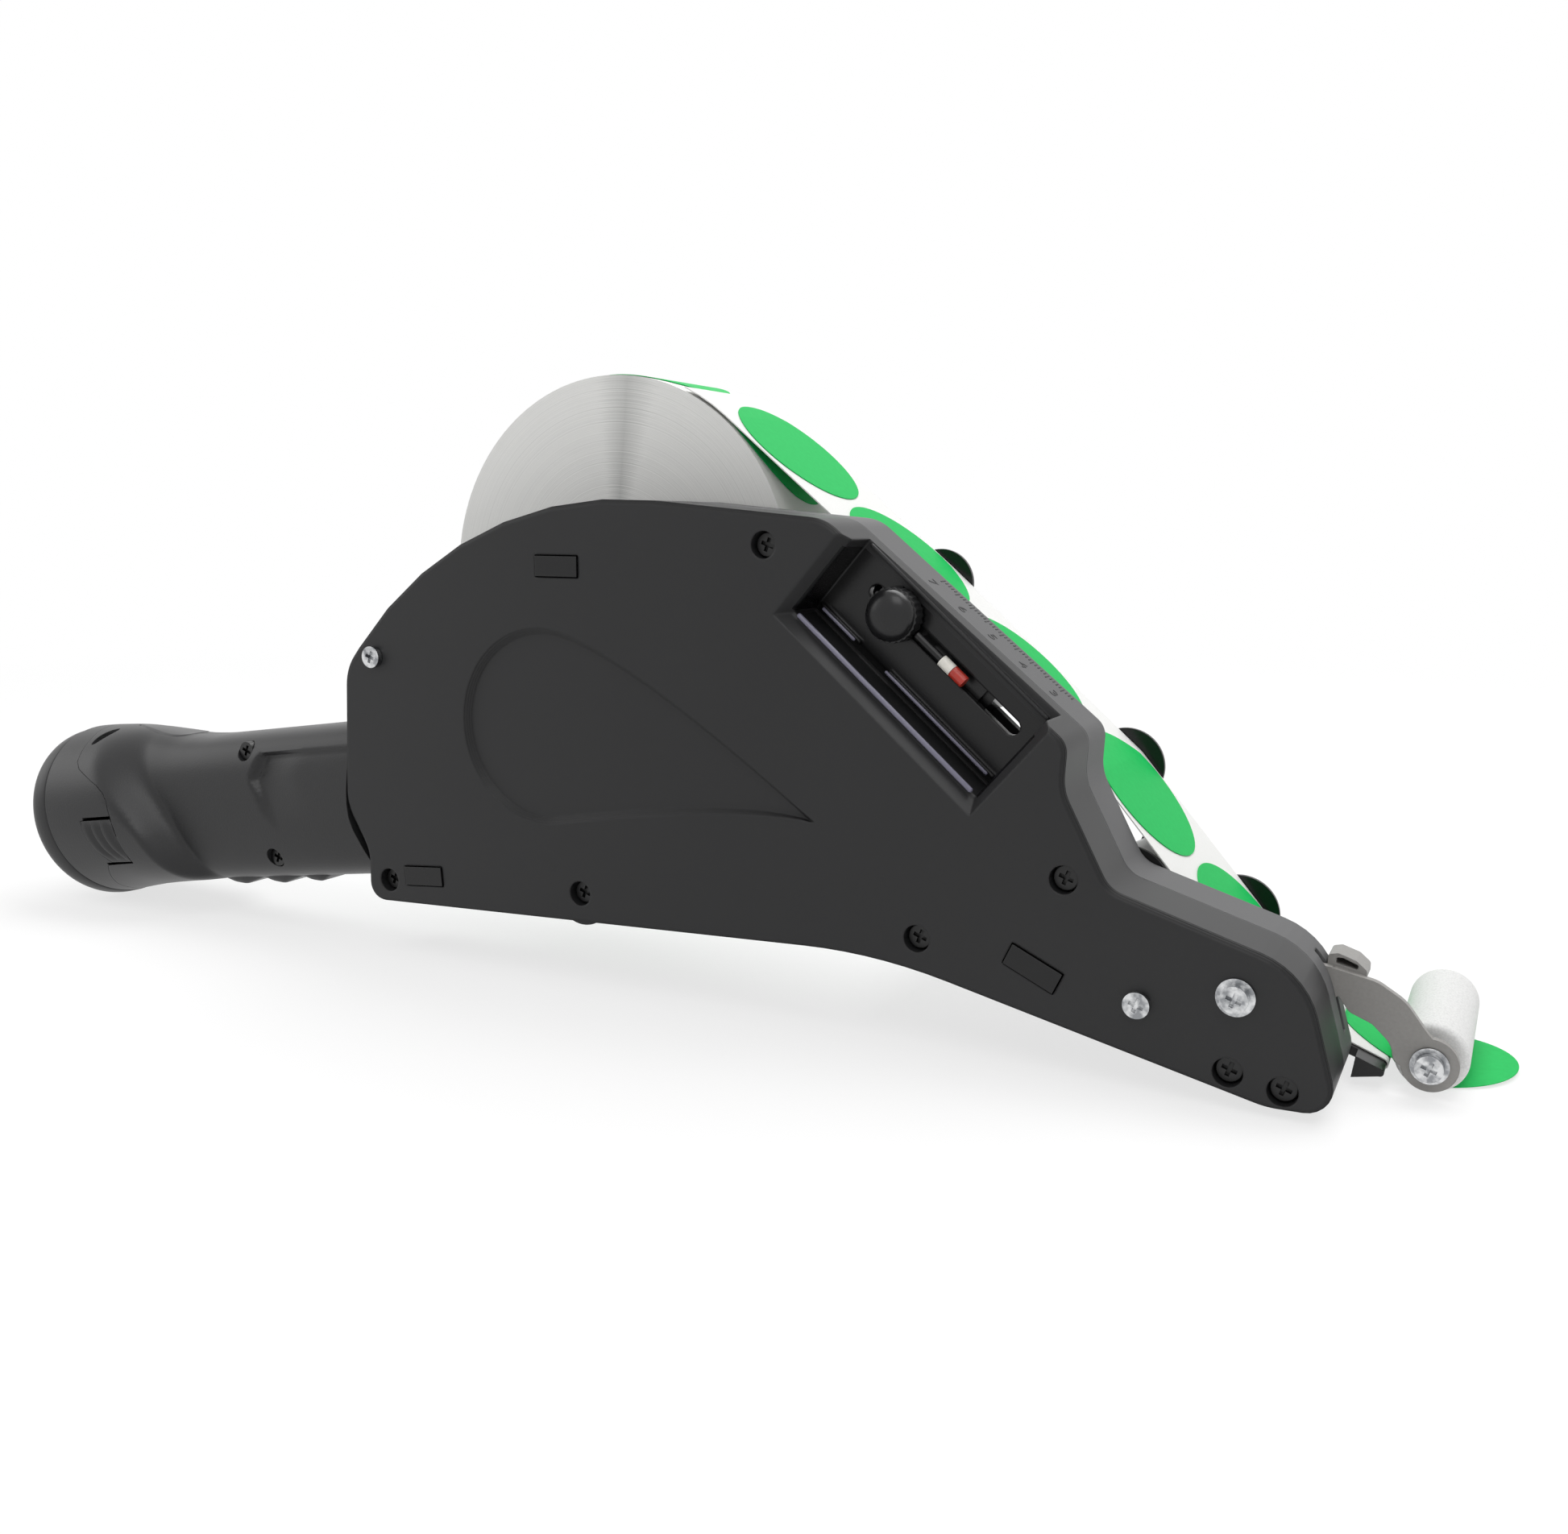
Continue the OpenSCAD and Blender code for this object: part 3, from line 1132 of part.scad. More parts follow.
// Battery: round end, stem inside the grip, end cap and two latches
stem_l = grip_l * 0.36;
stem_w = 24;
stem_h = 30;
module battery_pack() color("#262729") placed() {
    in_handle() difference() {
        union() {
            intersection() {
                grip_skin(0, cap_l);
                battery_side(-gap);
            }
            translate([stem_u, -stem_w / 2, -stem_h / 2 - over]) cube([stem_l, stem_w, stem_h]);
        }
        for (s = [-1, 1]) latch_block(s, gap, latch_t + gap + latch_travel);
        rotate([0, -90 - cap_tilt, 0]) translate([-ring_r * 2, -ring_r * 2, gap - seat])
            cube([ring_r * 4, ring_r * 4, cap_l * 3]);
    }
}
// Latch in the side view: share of the grip's length, share of the ring's radius
latch_shares = [[0.128, -0.02, 0.02], [0.2375, -0.02, 0.02], [0.2585, -0.52, 0.02],
    [0.163, -0.52, 0.1], [0.128, -0.25, 0.3]];
latch_t = 3.6;
latch_travel = 1.2;
latch_y = ring_r * 0.84;
latch_outline = [for (v = latch_shares) [v[0] * grip_l, v[1] * ring_r, v[2] * ring_r]];
module latch_block(s, g, t) {
    translate([0, s > 0 ? ring_r + over : t - latch_y, 0]) rotate([90, 0, 0])
        linear_extrude(ring_r + over + t - latch_y) polygon(rounded(inset(latch_outline, -g)));
}
module latch(s) {
    in_handle() intersection() {
        grip_skin(0);
        latch_block(s, 0, latch_t);
    }
}
module latch_near() color("#303134") placed() latch(-1);
module latch_far() color("#303134") placed() latch(1);
module battery_end_cap() color("#2b2c2e") placed() {
    translate([ring_c[0], mid_y, ring_c[1]]) rotate([0, -90 - cap_a, 0]) translate([0, 0, gap]) {
        cylinder(h = cap_l * cap_edge_share, d = butt_d, $fn = 96);
        translate([0, 0, cap_l * cap_edge_share])
            cylinder(h = cap_l * (1 - cap_edge_share), d1 = butt_d, d2 = butt_d * cap_face_share, $fn = 96);
    }
}
socket_t = 5;
socket_h_share = 0.3;
socket_side = 0.7;
contact_w = 2 * (grip_room - socket_side);
module battery_socket() color("#151516") placed() in_handle()
    translate([stem_u + stem_l + over + gap, -contact_w / 2, -stem_h * socket_h_share])
        cube([socket_t, contact_w, 2 * stem_h * socket_h_share]);

// Middle of the whole tool, rear to front and side to side
rear_x = ring_c[0] - (cap_l + gap) * cos(cap_a) - butt_d / 2 * cap_face_share * sin(cap_a);
front_x = foam_c[0] + label_d * 0.44;
far_y = web_far + flange_t + 2 * gap + axle_end_t;
middle_x = (front_x + rear_x) / 2;
middle_y = (far_y + mid_y - butt_d / 2) / 2;

near_cover();
main_frame();
snap_tabs();
cover_screws();
bright_screws();
label_roll();
roll_core();
roll_hub();
roll_keeper();
roll_spindle();
roll_labels();
label_web();
web_labels();
peeled_label();
waste_liner();
guide_roller_top();
guide_roller_mid();
guide_roller_low();
liner_roller();
guide_axles();
peel_plate();
web_holddown();
nose_bracket();
foam_roller();
foam_sleeve();
foam_axle();
arm_screws();
drive_roller();
drive_shaft();
drive_gear();
drive_bush();
pinch_roller();
pinch_yoke();
pinch_pin();
motor_pinion();
gear_motor();
motor_clamp();
control_board();
board_chips();
board_posts();
sensor_carriage();
sensor_fork();
sensor_lead();
sensor_sleeve();
sensor_tip();
sensor_knob();
grip_near();
grip_far();
grip_screws();
power_button();
trigger();
trigger_pin();
trigger_switch();
trigger_spring();
battery_pack();
battery_end_cap();
latch_near();
latch_far();
battery_socket();
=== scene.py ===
import math
import bmesh
import bpy
import numpy as np
from mathutils import Matrix, Vector


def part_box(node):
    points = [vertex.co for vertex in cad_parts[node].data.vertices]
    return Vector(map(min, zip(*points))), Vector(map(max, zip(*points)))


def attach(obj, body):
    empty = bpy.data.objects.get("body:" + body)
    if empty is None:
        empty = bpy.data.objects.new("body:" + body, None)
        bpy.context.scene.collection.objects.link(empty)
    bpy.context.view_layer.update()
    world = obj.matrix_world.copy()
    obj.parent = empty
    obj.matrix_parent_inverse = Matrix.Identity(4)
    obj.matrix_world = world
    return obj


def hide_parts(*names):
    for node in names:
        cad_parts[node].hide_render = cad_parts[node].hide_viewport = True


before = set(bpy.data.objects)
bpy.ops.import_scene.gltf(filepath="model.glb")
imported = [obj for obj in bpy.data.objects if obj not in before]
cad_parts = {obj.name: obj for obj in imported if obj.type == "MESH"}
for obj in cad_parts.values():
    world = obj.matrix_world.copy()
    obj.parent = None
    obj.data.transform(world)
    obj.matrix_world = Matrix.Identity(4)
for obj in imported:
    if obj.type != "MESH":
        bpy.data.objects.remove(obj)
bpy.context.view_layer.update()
mm = 0.001
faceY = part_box("near_cover")[0][1] / mm  # the cover's face
middleY = (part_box("near_cover")[0][1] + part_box("main_frame")[1][1]) / 2 / mm  # where the grip's halves meet
pointRadius = 0.01  # mm, the smallest ring of a shape that closes to a point
print("frame loaded")

# The sensor tray and the scale beside it lie on a slope: its directions along and outward, in x and z
slopeAngle = math.radians(40.9)
slope = {"along": (math.cos(slopeAngle), -math.sin(slopeAngle)),
         "out": (math.sin(slopeAngle), math.cos(slopeAngle))}

# Where the photograph was taken from, in the tool's own frame and in millimetres
view = {
    "place": (214.88, faceY - 309.0, 124.52),
    "right": (0.88781, 0.46017, 0.00671),
    "down": (0.08195, -0.14374, -0.98622),
    "forward": (-0.45286, 0.87612, -0.16532),
    "focalPixels": 1812.1,
    "photoWidth": 1946,
    "sensor": 36.0,
    "clipStart": 0.01,  # metres
}

bpy.context.scene.view_settings.view_transform = "Standard"


def addObject(name, data):
    item = bpy.data.objects.new(name, data)
    bpy.context.collection.objects.link(item)
    return item


def makeCamera():
    camera = bpy.data.cameras.new("camera")
    camera.sensor_width = view["sensor"]
    camera.lens = view["sensor"] * view["focalPixels"] / view["photoWidth"]
    camera.clip_start = view["clipStart"]
    right, down, forward = (Vector(view[axis]) for axis in ("right", "down", "forward"))
    turn = Matrix((right, -down, -forward)).transposed().to_4x4()
    holder = addObject("camera", camera)
    holder.matrix_world = Matrix.Translation(Vector(view["place"]) * mm) @ turn
    bpy.context.scene.camera = holder


makeCamera()


# sRGB hex to linear values
def linear(code):
    parts = [int(code[i:i + 2], 16) / 255 for i in (1, 3, 5)]
    return tuple(c / 12.92 if c <= 0.04045 else ((c + 0.055) / 1.055) ** 2.4 for c in parts) + (1.0,)


# Adds one node: its kind, its settings, and its inputs by name, or by number as i0 and i1; each input is
# a value, or a node with one of its outputs
def addNode(tree, kind, settings=None, **inputs):
    node = tree.nodes.new(kind)
    for name, value in (settings or {}).items():
        setattr(node, name, value)
    for name, value in inputs.items():
        key = name.replace("_", " ") if name.replace("_", " ") in node.inputs else int(name[1:])
        if isinstance(value, tuple) and value and isinstance(value[0], bpy.types.Node):
            tree.links.new(value[0].outputs[value[1]], node.inputs[key])
        else:
            node.inputs[key].default_value = value
    return node


def newMaterial(name):
    material = bpy.data.materials.new(name)
    material.use_nodes = True
    tree = material.node_tree
    tree.nodes.clear()
    shader = addNode(tree, "ShaderNodeBsdfPrincipled")
    addNode(tree, "ShaderNodeOutputMaterial", Surface=(shader, "BSDF"))
    coords = addNode(tree, "ShaderNodeTexCoord")
    return material, tree, shader, coords


def textured(tree, shader, height, depth, rounding=0.0):
    # relief of a height pattern, over edges rounded by a small radius; both in millimetres
    bump = addNode(tree, "ShaderNodeBump", Height=height, Distance=depth * mm, Strength=1.0)
    if rounding:
        edge = addNode(tree, "ShaderNodeBevel", {"samples": 6}, Radius=rounding * mm)
        tree.links.new(edge.outputs[0], bump.inputs["Normal"])
    tree.links.new(bump.outputs[0], shader.inputs["Normal"])


def setShader(shader, **values):
    for name, value in values.items():
        shader.inputs[name.replace("_", " ")].default_value = value


# A surface whose tone and relief follow one pattern of a real size, in millimetres
def patterned(name, dark, light, size, depth, rounding=0.0, kind="ShaderNodeTexNoise", detail=3.0, **values):
    material, tree, shader, coords = newMaterial(name)
    pattern = addNode(tree, kind, Vector=(coords, "Object"), Scale=1 / (size * mm), Detail=detail)
    tone = addNode(tree, "ShaderNodeMix", {"data_type": "RGBA"}, i0=(pattern, 0),
                   i6=linear(dark), i7=linear(light))
    tree.links.new(tone.outputs[2], shader.inputs["Base Color"])
    textured(tree, shader, (pattern, 0), depth, rounding)
    setShader(shader, **values)
    return material


# ABS moulded against a spark-eroded tool: dark satin with fine grains, and a sheen that drifts over the piece
def mouldedAbs(name, dark, light, roughLow, roughHigh, grain, depth, rounding):
    drift = 38.0  # mm between shinier places
    material, tree, shader, coords = newMaterial(name)
    fine = addNode(tree, "ShaderNodeTexNoise", Vector=(coords, "Object"), Scale=1 / (grain * mm))
    broad = addNode(tree, "ShaderNodeTexNoise", Vector=(coords, "Object"), Scale=1 / (drift * mm), Detail=3.0)
    tone = addNode(tree, "ShaderNodeMix", {"data_type": "RGBA"}, i0=(broad, "Fac"),
                   i6=linear(dark), i7=linear(light))
    tree.links.new(tone.outputs[2], shader.inputs["Base Color"])
    rough = addNode(tree, "ShaderNodeMapRange", i0=(broad, "Fac"), i3=roughLow, i4=roughHigh)
    tree.links.new(rough.outputs[0], shader.inputs["Roughness"])
    textured(tree, shader, (fine, "Fac"), depth, rounding)
    setShader(shader, IOR=1.46, Specular_IOR_Level=0.4)
    return material


# Coated paper printed in one colour: flat and even, with a faint mottle and almost no shine
def printedLabel(name, colour, second):
    return patterned(name, colour, second, 1.4, 0.004, Roughness=0.5, IOR=1.45, Specular_IOR_Level=0.1)


# Glassine backing paper, pressed smooth between rollers: white, with short fibres and a little shine
def releasePaper(name):
    return patterned(name, "#e3e3e1", "#ececea", 0.6, 0.004, detail=4.0, Roughness=0.42, IOR=1.45)


# Fine white sponge of cells about 0.5 mm wide: dull, soft-edged and faintly pitted
def spongeFoam(name):
    return patterned(name, "#e6e6e5", "#d2d2d1", 0.5, 0.03, 0.8, "ShaderNodeTexVoronoi", 0.0,
                     Roughness=0.85, IOR=1.4)


# Powder-coated sheet steel: a warm grey, half matt, with an orange peel of about 0.8 mm
def paintedSteel(name):
    return patterned(name, "#858380", "#93918e", 0.8, 0.02, 0.3, detail=2.0, Roughness=0.42, IOR=1.5)


# Small moulded, turned or printed pieces: plain, with faint mottling and slightly rounded edges
def plainPart(name, colour, second, rough, metallic=0.0):
    return patterned(name, colour, second, 1.2, 0.01, 0.2, Roughness=rough, Metallic=metallic, IOR=1.5)


# Side of a roll: turns of paper drawn about 0.35 mm thick so that they show, and a band of painted shade across
# them, where their sheen falls off
rollSide = {"turn": 0.35, "group": 2.6, "dark": "#d3d3d0", "light": "#fcfcfa", "groupTone": "#ededea",
            "shadeBandAngle": 1.48, "shadeBandUneven": 0.24, "shadeBandFrom": 0.06, "shadeBandTo": 0.30, "shadeBandShare": 0.75,
            "shadeBandTone": "#a3a4a2"}


def woundPaper(name, centre):
    # tone by the distance from the roll's centre, and painted shade by the angle from the middle of the shaded
    # band
    side = rollSide
    material, tree, shader, coords = newMaterial(name)
    place = addNode(tree, "ShaderNodeMapping", Vector=(coords, "Object"),
                    Location=(-centre[0], 0, -centre[2]))
    split = addNode(tree, "ShaderNodeSeparateXYZ", Vector=(place, "Vector"))
    flat = addNode(tree, "ShaderNodeCombineXYZ", X=(split, "X"), Y=(split, "Z"))
    radius = addNode(tree, "ShaderNodeVectorMath", {"operation": "LENGTH"}, i0=(flat, 0))
    turns, groups = (addNode(tree, "ShaderNodeTexNoise", {"noise_dimensions": "1D"}, W=(radius, "Value"),
                             Scale=1 / (side[size] * mm)) for size in ("turn", "group"))
    angle = addNode(tree, "ShaderNodeMath", {"operation": "ARCTAN2"}, i0=(split, "Z"), i1=(split, "X"))
    lean = addNode(tree, "ShaderNodeMath", {"operation": "SUBTRACT"}, i0=(angle, 0), i1=side["shadeBandAngle"])
    away = addNode(tree, "ShaderNodeMath", {"operation": "ABSOLUTE"}, i0=(lean, 0))
    uneven = addNode(tree, "ShaderNodeMath", {"operation": "MULTIPLY_ADD"}, i0=(turns, "Fac"),
                     i1=side["shadeBandUneven"], i2=(away, 0))
    # painted shade: how much of the band's darker tone each place gets
    band = addNode(tree, "ShaderNodeMapRange", i0=(uneven, 0), i1=side["shadeBandFrom"], i2=side["shadeBandTo"],
                   i3=side["shadeBandShare"], i4=0.0)
    tone = addNode(tree, "ShaderNodeMix", {"data_type": "RGBA"}, i0=(turns, "Fac"),
                   i6=linear(side["dark"]), i7=linear(side["light"]))
    for share, colour in (((groups, "Fac"), "groupTone"), ((band, 0), "shadeBandTone")):
        tone = addNode(tree, "ShaderNodeMix", {"data_type": "RGBA"}, i0=share,
                       i6=(tone, 2), i7=linear(side[colour]))
    tree.links.new(tone.outputs[2], shader.inputs["Base Color"])
    textured(tree, shader, (turns, "Fac"), 0.05)
    setShader(shader, Roughness=0.45, IOR=1.45)
    return material


# Turned steel, nickel-plated or ground: bright, with darker burnished patches about 2 mm wide and fine marks
def turnedSteel(name, dark, light, rough):
    markSize, patchSize = 0.3, 2.2
    material, tree, shader, coords = newMaterial(name)
    marks = addNode(tree, "ShaderNodeTexNoise", Vector=(coords, "Object"), Scale=1 / (markSize * mm),
                    Detail=3.0)
    patches = addNode(tree, "ShaderNodeTexNoise", Vector=(coords, "Object"), Scale=1 / (patchSize * mm))
    contrast = addNode(tree, "ShaderNodeMapRange", i0=(patches, "Fac"), i1=0.38, i2=0.62)
    tone = addNode(tree, "ShaderNodeMix", {"data_type": "RGBA"}, i0=(contrast, 0),
                   i6=linear(dark), i7=linear(light))
    tree.links.new(tone.outputs[2], shader.inputs["Base Color"])
    spread = addNode(tree, "ShaderNodeMapRange", i0=(marks, "Fac"), i3=rough * 0.8, i4=rough * 1.4)
    tree.links.new(spread.outputs[0], shader.inputs["Roughness"])
    textured(tree, shader, (marks, "Fac"), 0.008, 0.12)
    setShader(shader, Metallic=1.0)
    return material


# Clear polyester sheet, rolled: glassy, with a faint haze in patches of about 3 mm
def clearSheet(name):
    hazeSize = 3.0
    material, tree, shader, coords = newMaterial(name)
    haze = addNode(tree, "ShaderNodeTexNoise", Vector=(coords, "Object"), Scale=1 / (hazeSize * mm))
    rough = addNode(tree, "ShaderNodeMapRange", i0=(haze, "Fac"), i3=0.04, i4=0.12)
    tree.links.new(rough.outputs[0], shader.inputs["Roughness"])
    setShader(shader, Base_Color=linear("#f4f7f7"), IOR=1.49, Transmission_Weight=1.0)
    return material


# The tray in the cover, from a polished core of the mould, is shinier, and painted darker as the shade in its
# recess: its middle and half size along the slope and outward, and how far it lies below the cover's face
trayShadeArea = {"along": (5.7, 33.0), "out": (125.1, 10.0), "below": 2.8, "colour": "#0b0b0c", "rough": 0.25}


def trayShadeAndGloss(material):
    # inside the tray, where shade is painted and the gloss is higher: a product of one test of depth and two of
    # place along the slope's directions
    tree = material.node_tree
    shader = tree.nodes["Principled BSDF"]
    coords = addNode(tree, "ShaderNodeTexCoord")
    inside = addNode(tree, "ShaderNodeSeparateXYZ", Vector=(coords, "Object"))
    shadeMask = addNode(tree, "ShaderNodeMath", {"operation": "GREATER_THAN"}, i0=(inside, "Y"),
                   i1=(faceY + trayShadeArea["below"]) * mm)
    for axis in ("along", "out"):
        middle, half = trayShadeArea[axis]
        place = addNode(tree, "ShaderNodeVectorMath", {"operation": "DOT_PRODUCT"}, i0=(coords, "Object"),
                        i1=(slope[axis][0], 0.0, slope[axis][1]))
        near = addNode(tree, "ShaderNodeMath", {"operation": "COMPARE"}, i0=(place, "Value"),
                       i1=middle * mm, i2=half * mm)
        shadeMask = addNode(tree, "ShaderNodeMath", {"operation": "MULTIPLY"}, i0=(shadeMask, 0), i1=(near, 0))
    outerTone = shader.inputs["Base Color"].links[0].from_socket
    outerRough = shader.inputs["Roughness"].links[0].from_socket
    # painted shade: the tray's inside takes the darker colour
    tone = addNode(tree, "ShaderNodeMix", {"data_type": "RGBA"}, i0=(shadeMask, 0), i7=linear(trayShadeArea["colour"]))
    tree.links.new(outerTone, tone.inputs[6])
    tree.links.new(tone.outputs[2], shader.inputs["Base Color"])
    rough = addNode(tree, "ShaderNodeMix", {"data_type": "FLOAT"}, i0=(shadeMask, 0), i3=trayShadeArea["rough"])
    tree.links.new(outerRough, rough.inputs[2])
    tree.links.new(rough.outputs[0], shader.inputs["Roughness"])


rollCentre = tuple((a + b) / 2 for a, b in zip(*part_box("label_roll")))

finish = {
    "greenLabel": printedLabel("greenLabel", "#22bd5f", "#19b155"),
    "releasePaper": releasePaper("releasePaper"),
    "woundPaper": woundPaper("woundPaper", rollCentre),
    "spongeFoam": spongeFoam("spongeFoam"),
    "nickelScrew": turnedSteel("nickelScrew", "#8d8f92", "#d6d7d8", 0.2),
    "groundSteel": turnedSteel("groundSteel", "#9fa1a3", "#c4c6c8", 0.34),
    "bracketSteel": paintedSteel("bracketSteel"),
    "clearSheet": clearSheet("clearSheet"),
}

# Two tones, lowest and highest roughness, grain size and depth, and edge radius of each moulding in ABS
mouldings = {
    "coverAbs": ("#1d1d1e", "#222223", 0.40, 0.48, 0.25, 0.012, 0.9),
    # the frame: the same black ABS as the cover, painted mid grey as the light from above that falls on its
    # sloping band
    "frameAbs": ("#535354", "#5c5c5d", 0.50, 0.58, 0.40, 0.030, 0.6),
    "gripAbs": ("#1f1f20", "#272728", 0.33, 0.41, 0.50, 0.040, 0.3),
    "blackAbs": ("#0d0d0e", "#131314", 0.22, 0.32, 0.25, 0.006, 0.25),
    "knobAbs": ("#161617", "#1d1d1e", 0.24, 0.30, 0.25, 0.004, 0.15),
    # beads: pale lavender, a painted highlight for the light reflected along the tray's lips
    "beadAbs": ("#6f6d7d", "#807e90", 0.16, 0.22, 0.25, 0.002, 0.1),
    "smoothAbs": ("#363637", "#3e3e3f", 0.30, 0.38, 0.25, 0.004, 0.3),
}

# Two tones and the roughness of the plain small parts, and their metallic value where they are of metal
plainParts = {
    "printingInk": ("#1c1c1d", "#262627", 0.6),
    "blackOxide": ("#060607", "#0c0c0d", 0.4),
    "rubber": ("#18181a", "#202022", 0.7),
    "card": ("#a98a5f", "#bb9b6e", 0.8),
    "bronze": ("#a9855a", "#b99468", 0.45, 1.0),
    "acetal": ("#dedbd2", "#e8e6de", 0.35),
    "solderMask": ("#1d5a36", "#21653d", 0.3),
    "milkyNylon": ("#dcd9d0", "#ece9e1", 0.3),
    "redAcrylic": ("#9c2a20", "#c0392b", 0.28),
}
for make, parts in ((mouldedAbs, mouldings), (plainPart, plainParts)):
    for finishName, values in parts.items():
        finish[finishName] = make(finishName, *values)

trayShadeAndGloss(finish["coverAbs"])

nodeFinish = {
    "coverAbs": ["near_cover"],
    "frameAbs": ["main_frame"],
    "gripAbs": ["grip_near", "grip_far", "battery_pack", "battery_end_cap", "latch_near", "latch_far"],
    "smoothAbs": ["trigger", "power_button"],
    "knobAbs": ["sensor_knob"],
    "blackAbs": ["snap_tabs", "guide_roller_top", "guide_roller_mid", "guide_roller_low", "liner_roller",
                 "peel_plate", "pinch_yoke", "motor_clamp", "board_chips", "sensor_carriage", "sensor_fork",
                 "sensor_lead", "roll_hub", "roll_keeper", "trigger_switch", "battery_socket"],
    "greenLabel": ["roll_labels", "web_labels", "peeled_label"],
    "releasePaper": ["label_web", "waste_liner"],
    "woundPaper": ["label_roll"],
    "spongeFoam": ["foam_roller"],
    "nickelScrew": ["bright_screws", "arm_screws"],
    "groundSteel": ["roll_spindle", "guide_axles", "foam_axle", "drive_shaft", "pinch_pin", "trigger_pin",
                    "trigger_spring", "gear_motor"],
    "blackOxide": ["cover_screws", "grip_screws"],
    "bracketSteel": ["nose_bracket"],
    "clearSheet": ["web_holddown"],
    "rubber": ["drive_roller", "pinch_roller"],
    "card": ["roll_core"],
    "bronze": ["drive_bush"],
    "acetal": ["drive_gear", "motor_pinion"],
    "solderMask": ["control_board"],
    "milkyNylon": ["foam_sleeve", "sensor_sleeve", "board_posts"],
    "redAcrylic": ["sensor_tip"],
}
for finishName, nodeNames in nodeFinish.items():
    for nodeName in nodeNames:
        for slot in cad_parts[nodeName].material_slots:
            slot.material = finish[finishName]
print("materials set")


# Mesh of a grid of points, rows by columns; rows may close on themselves, and the outer two may be filled
def gridPiece(name, points, closed=False, caps=False):
    rows, columns = points.shape[:2]
    index = np.arange(rows * columns).reshape(rows, columns)
    following = np.roll(index, -1, axis=1) if closed else index[:, 1:]
    here = index if closed else index[:, :-1]
    faces = np.stack([here[:-1], following[:-1], following[1:], here[1:]], axis=-1).reshape(-1, 4).tolist()
    if caps:
        faces += [index[0, ::-1].tolist(), index[-1].tolist()]
    mesh = bpy.data.meshes.new(name)
    mesh.from_pydata(points.reshape(-1, 3).tolist(), [], faces)
    return addObject(name, mesh)


def smoothFaces(piece, angle=34):
    piece.data.polygons.foreach_set("use_smooth", [True] * len(piece.data.polygons))
    piece.data.set_sharp_from_angle(angle=math.radians(angle))
    piece.data.update()


def solid(name, points, caps=True, angle=34):
    # closed body of rings of points, its faces turned outward; without caps, points that meet are merged
    mergeDistance = 0.002 * mm
    piece = gridPiece(name, points, closed=True, caps=caps)
    work = bmesh.new()
    work.from_mesh(piece.data)
    if not caps:
        bmesh.ops.remove_doubles(work, verts=work.verts, dist=mergeDistance)
    bmesh.ops.recalc_face_normals(work, faces=work.faces)
    work.to_mesh(piece.data)
    work.free()
    smoothFaces(piece, angle)
    return piece


def duplicate(piece, name):
    return addObject(name, piece.data.copy())


def carve(piece, cutter, operation="DIFFERENCE"):
    # cuts, joins or keeps what two bodies share, and leaves the result as a plain mesh
    step = piece.modifiers.new("carve", "BOOLEAN")
    step.operation = operation
    step.solver = "EXACT"
    step.object = cutter
    bpy.context.view_layer.update()
    result = bpy.data.meshes.new_from_object(piece.evaluated_get(bpy.context.evaluated_depsgraph_get()))
    piece.modifiers.clear()
    piece.data = result
    bpy.data.objects.remove(cutter)


def finishPiece(piece, material, body, slot, *nodes):
    piece.data.materials.clear()
    piece.data.materials.append(material)
    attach(piece, body)
    if nodes:
        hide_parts(*nodes)


def smoothStep(x):
    x = np.clip(x, 0, 1)
    return x * x * (3 - 2 * x)


def softened(x, places, values, radius):
    # a run of straight lines, averaged over a window so that its corners are round
    offsets = np.linspace(-radius, radius, 9)
    return sum(np.interp(x + offset, places, values) for offset in offsets) / len(offsets)


# Lengths along the handle's axis (u), across it (y) and above it (n), from the middle of the battery's end
handle = {
    "ring": (-202.89, 28.67),  # that middle, in x and z
    "rise": 8.0,  # degrees
    "radius": 28.0,
    "length": 118.0,
    # by share of the length, in shares of the radius: reach above, below and across the axis
    "along": [0.0, 0.10, 0.18, 0.27, 0.36, 0.45, 0.80, 1.05],
    "top": [1.0, 0.975, 0.93, 0.865, 0.79, 0.763, 0.763, 0.765],
    "low": [1.0, 0.95, 0.915, 0.89, 0.87, 0.865, 0.865, 0.866],
    "bulge": [1.0, 0.99, 0.975, 0.955, 0.94, 0.93, 0.93, 0.93],
    "squareness": [1.0, 0.97, 0.90, 0.80, 0.72, 0.68, 0.66, 0.64],  # 1 is an ellipse, less is squarer
    "blend": 0.04,
    "heightBlend": 0.03,
    "gripWidth": 17.2,
    # runs of sections, as start, end and number
    "rows": [(-10, 30, 34), (31, 60, 42), (61, 76, 14), (76.8, 98, 32), (99.5, 124, 14)],
    "columns": 144,
    "outside": 40.0,  # past the skin on every side
    "beyond": 60.0,  # past any part of the handle
}

# Fold where the battery's bulge falls to the grip's width: where it ends at a level, how that end slants, and
# how broad it is, broader lower down by a slant and higher up by a smooth step
fold = {"end": 34.0, "level": 16.0, "slant": 0.52, "band": 7.0, "bandSlant": 0.07, "soft": 10.0,
        "softFrom": -8.0, "softRun": 26.0}


def handlePlace(u, y, n):
    # from along, across and above the handle's axis to the tool's own frame
    rise = math.radians(handle["rise"])
    x = handle["ring"][0] + u * math.cos(rise) - n * math.sin(rise)
    z = handle["ring"][1] + u * math.sin(rise) + n * math.cos(rise)
    return np.stack(np.broadcast_arrays(x, middleY + y, z), axis=-1) * mm


def section(u):
    # power of the superellipse, and its reach above and below the axis, at a place along the handle
    share = u / handle["length"]
    power = softened(share, handle["along"], handle["squareness"], handle["blend"])
    top, low = (softened(share, handle["along"], handle[side], handle["heightBlend"]) * handle["radius"]
                for side in ("top", "low"))
    return power, top, low


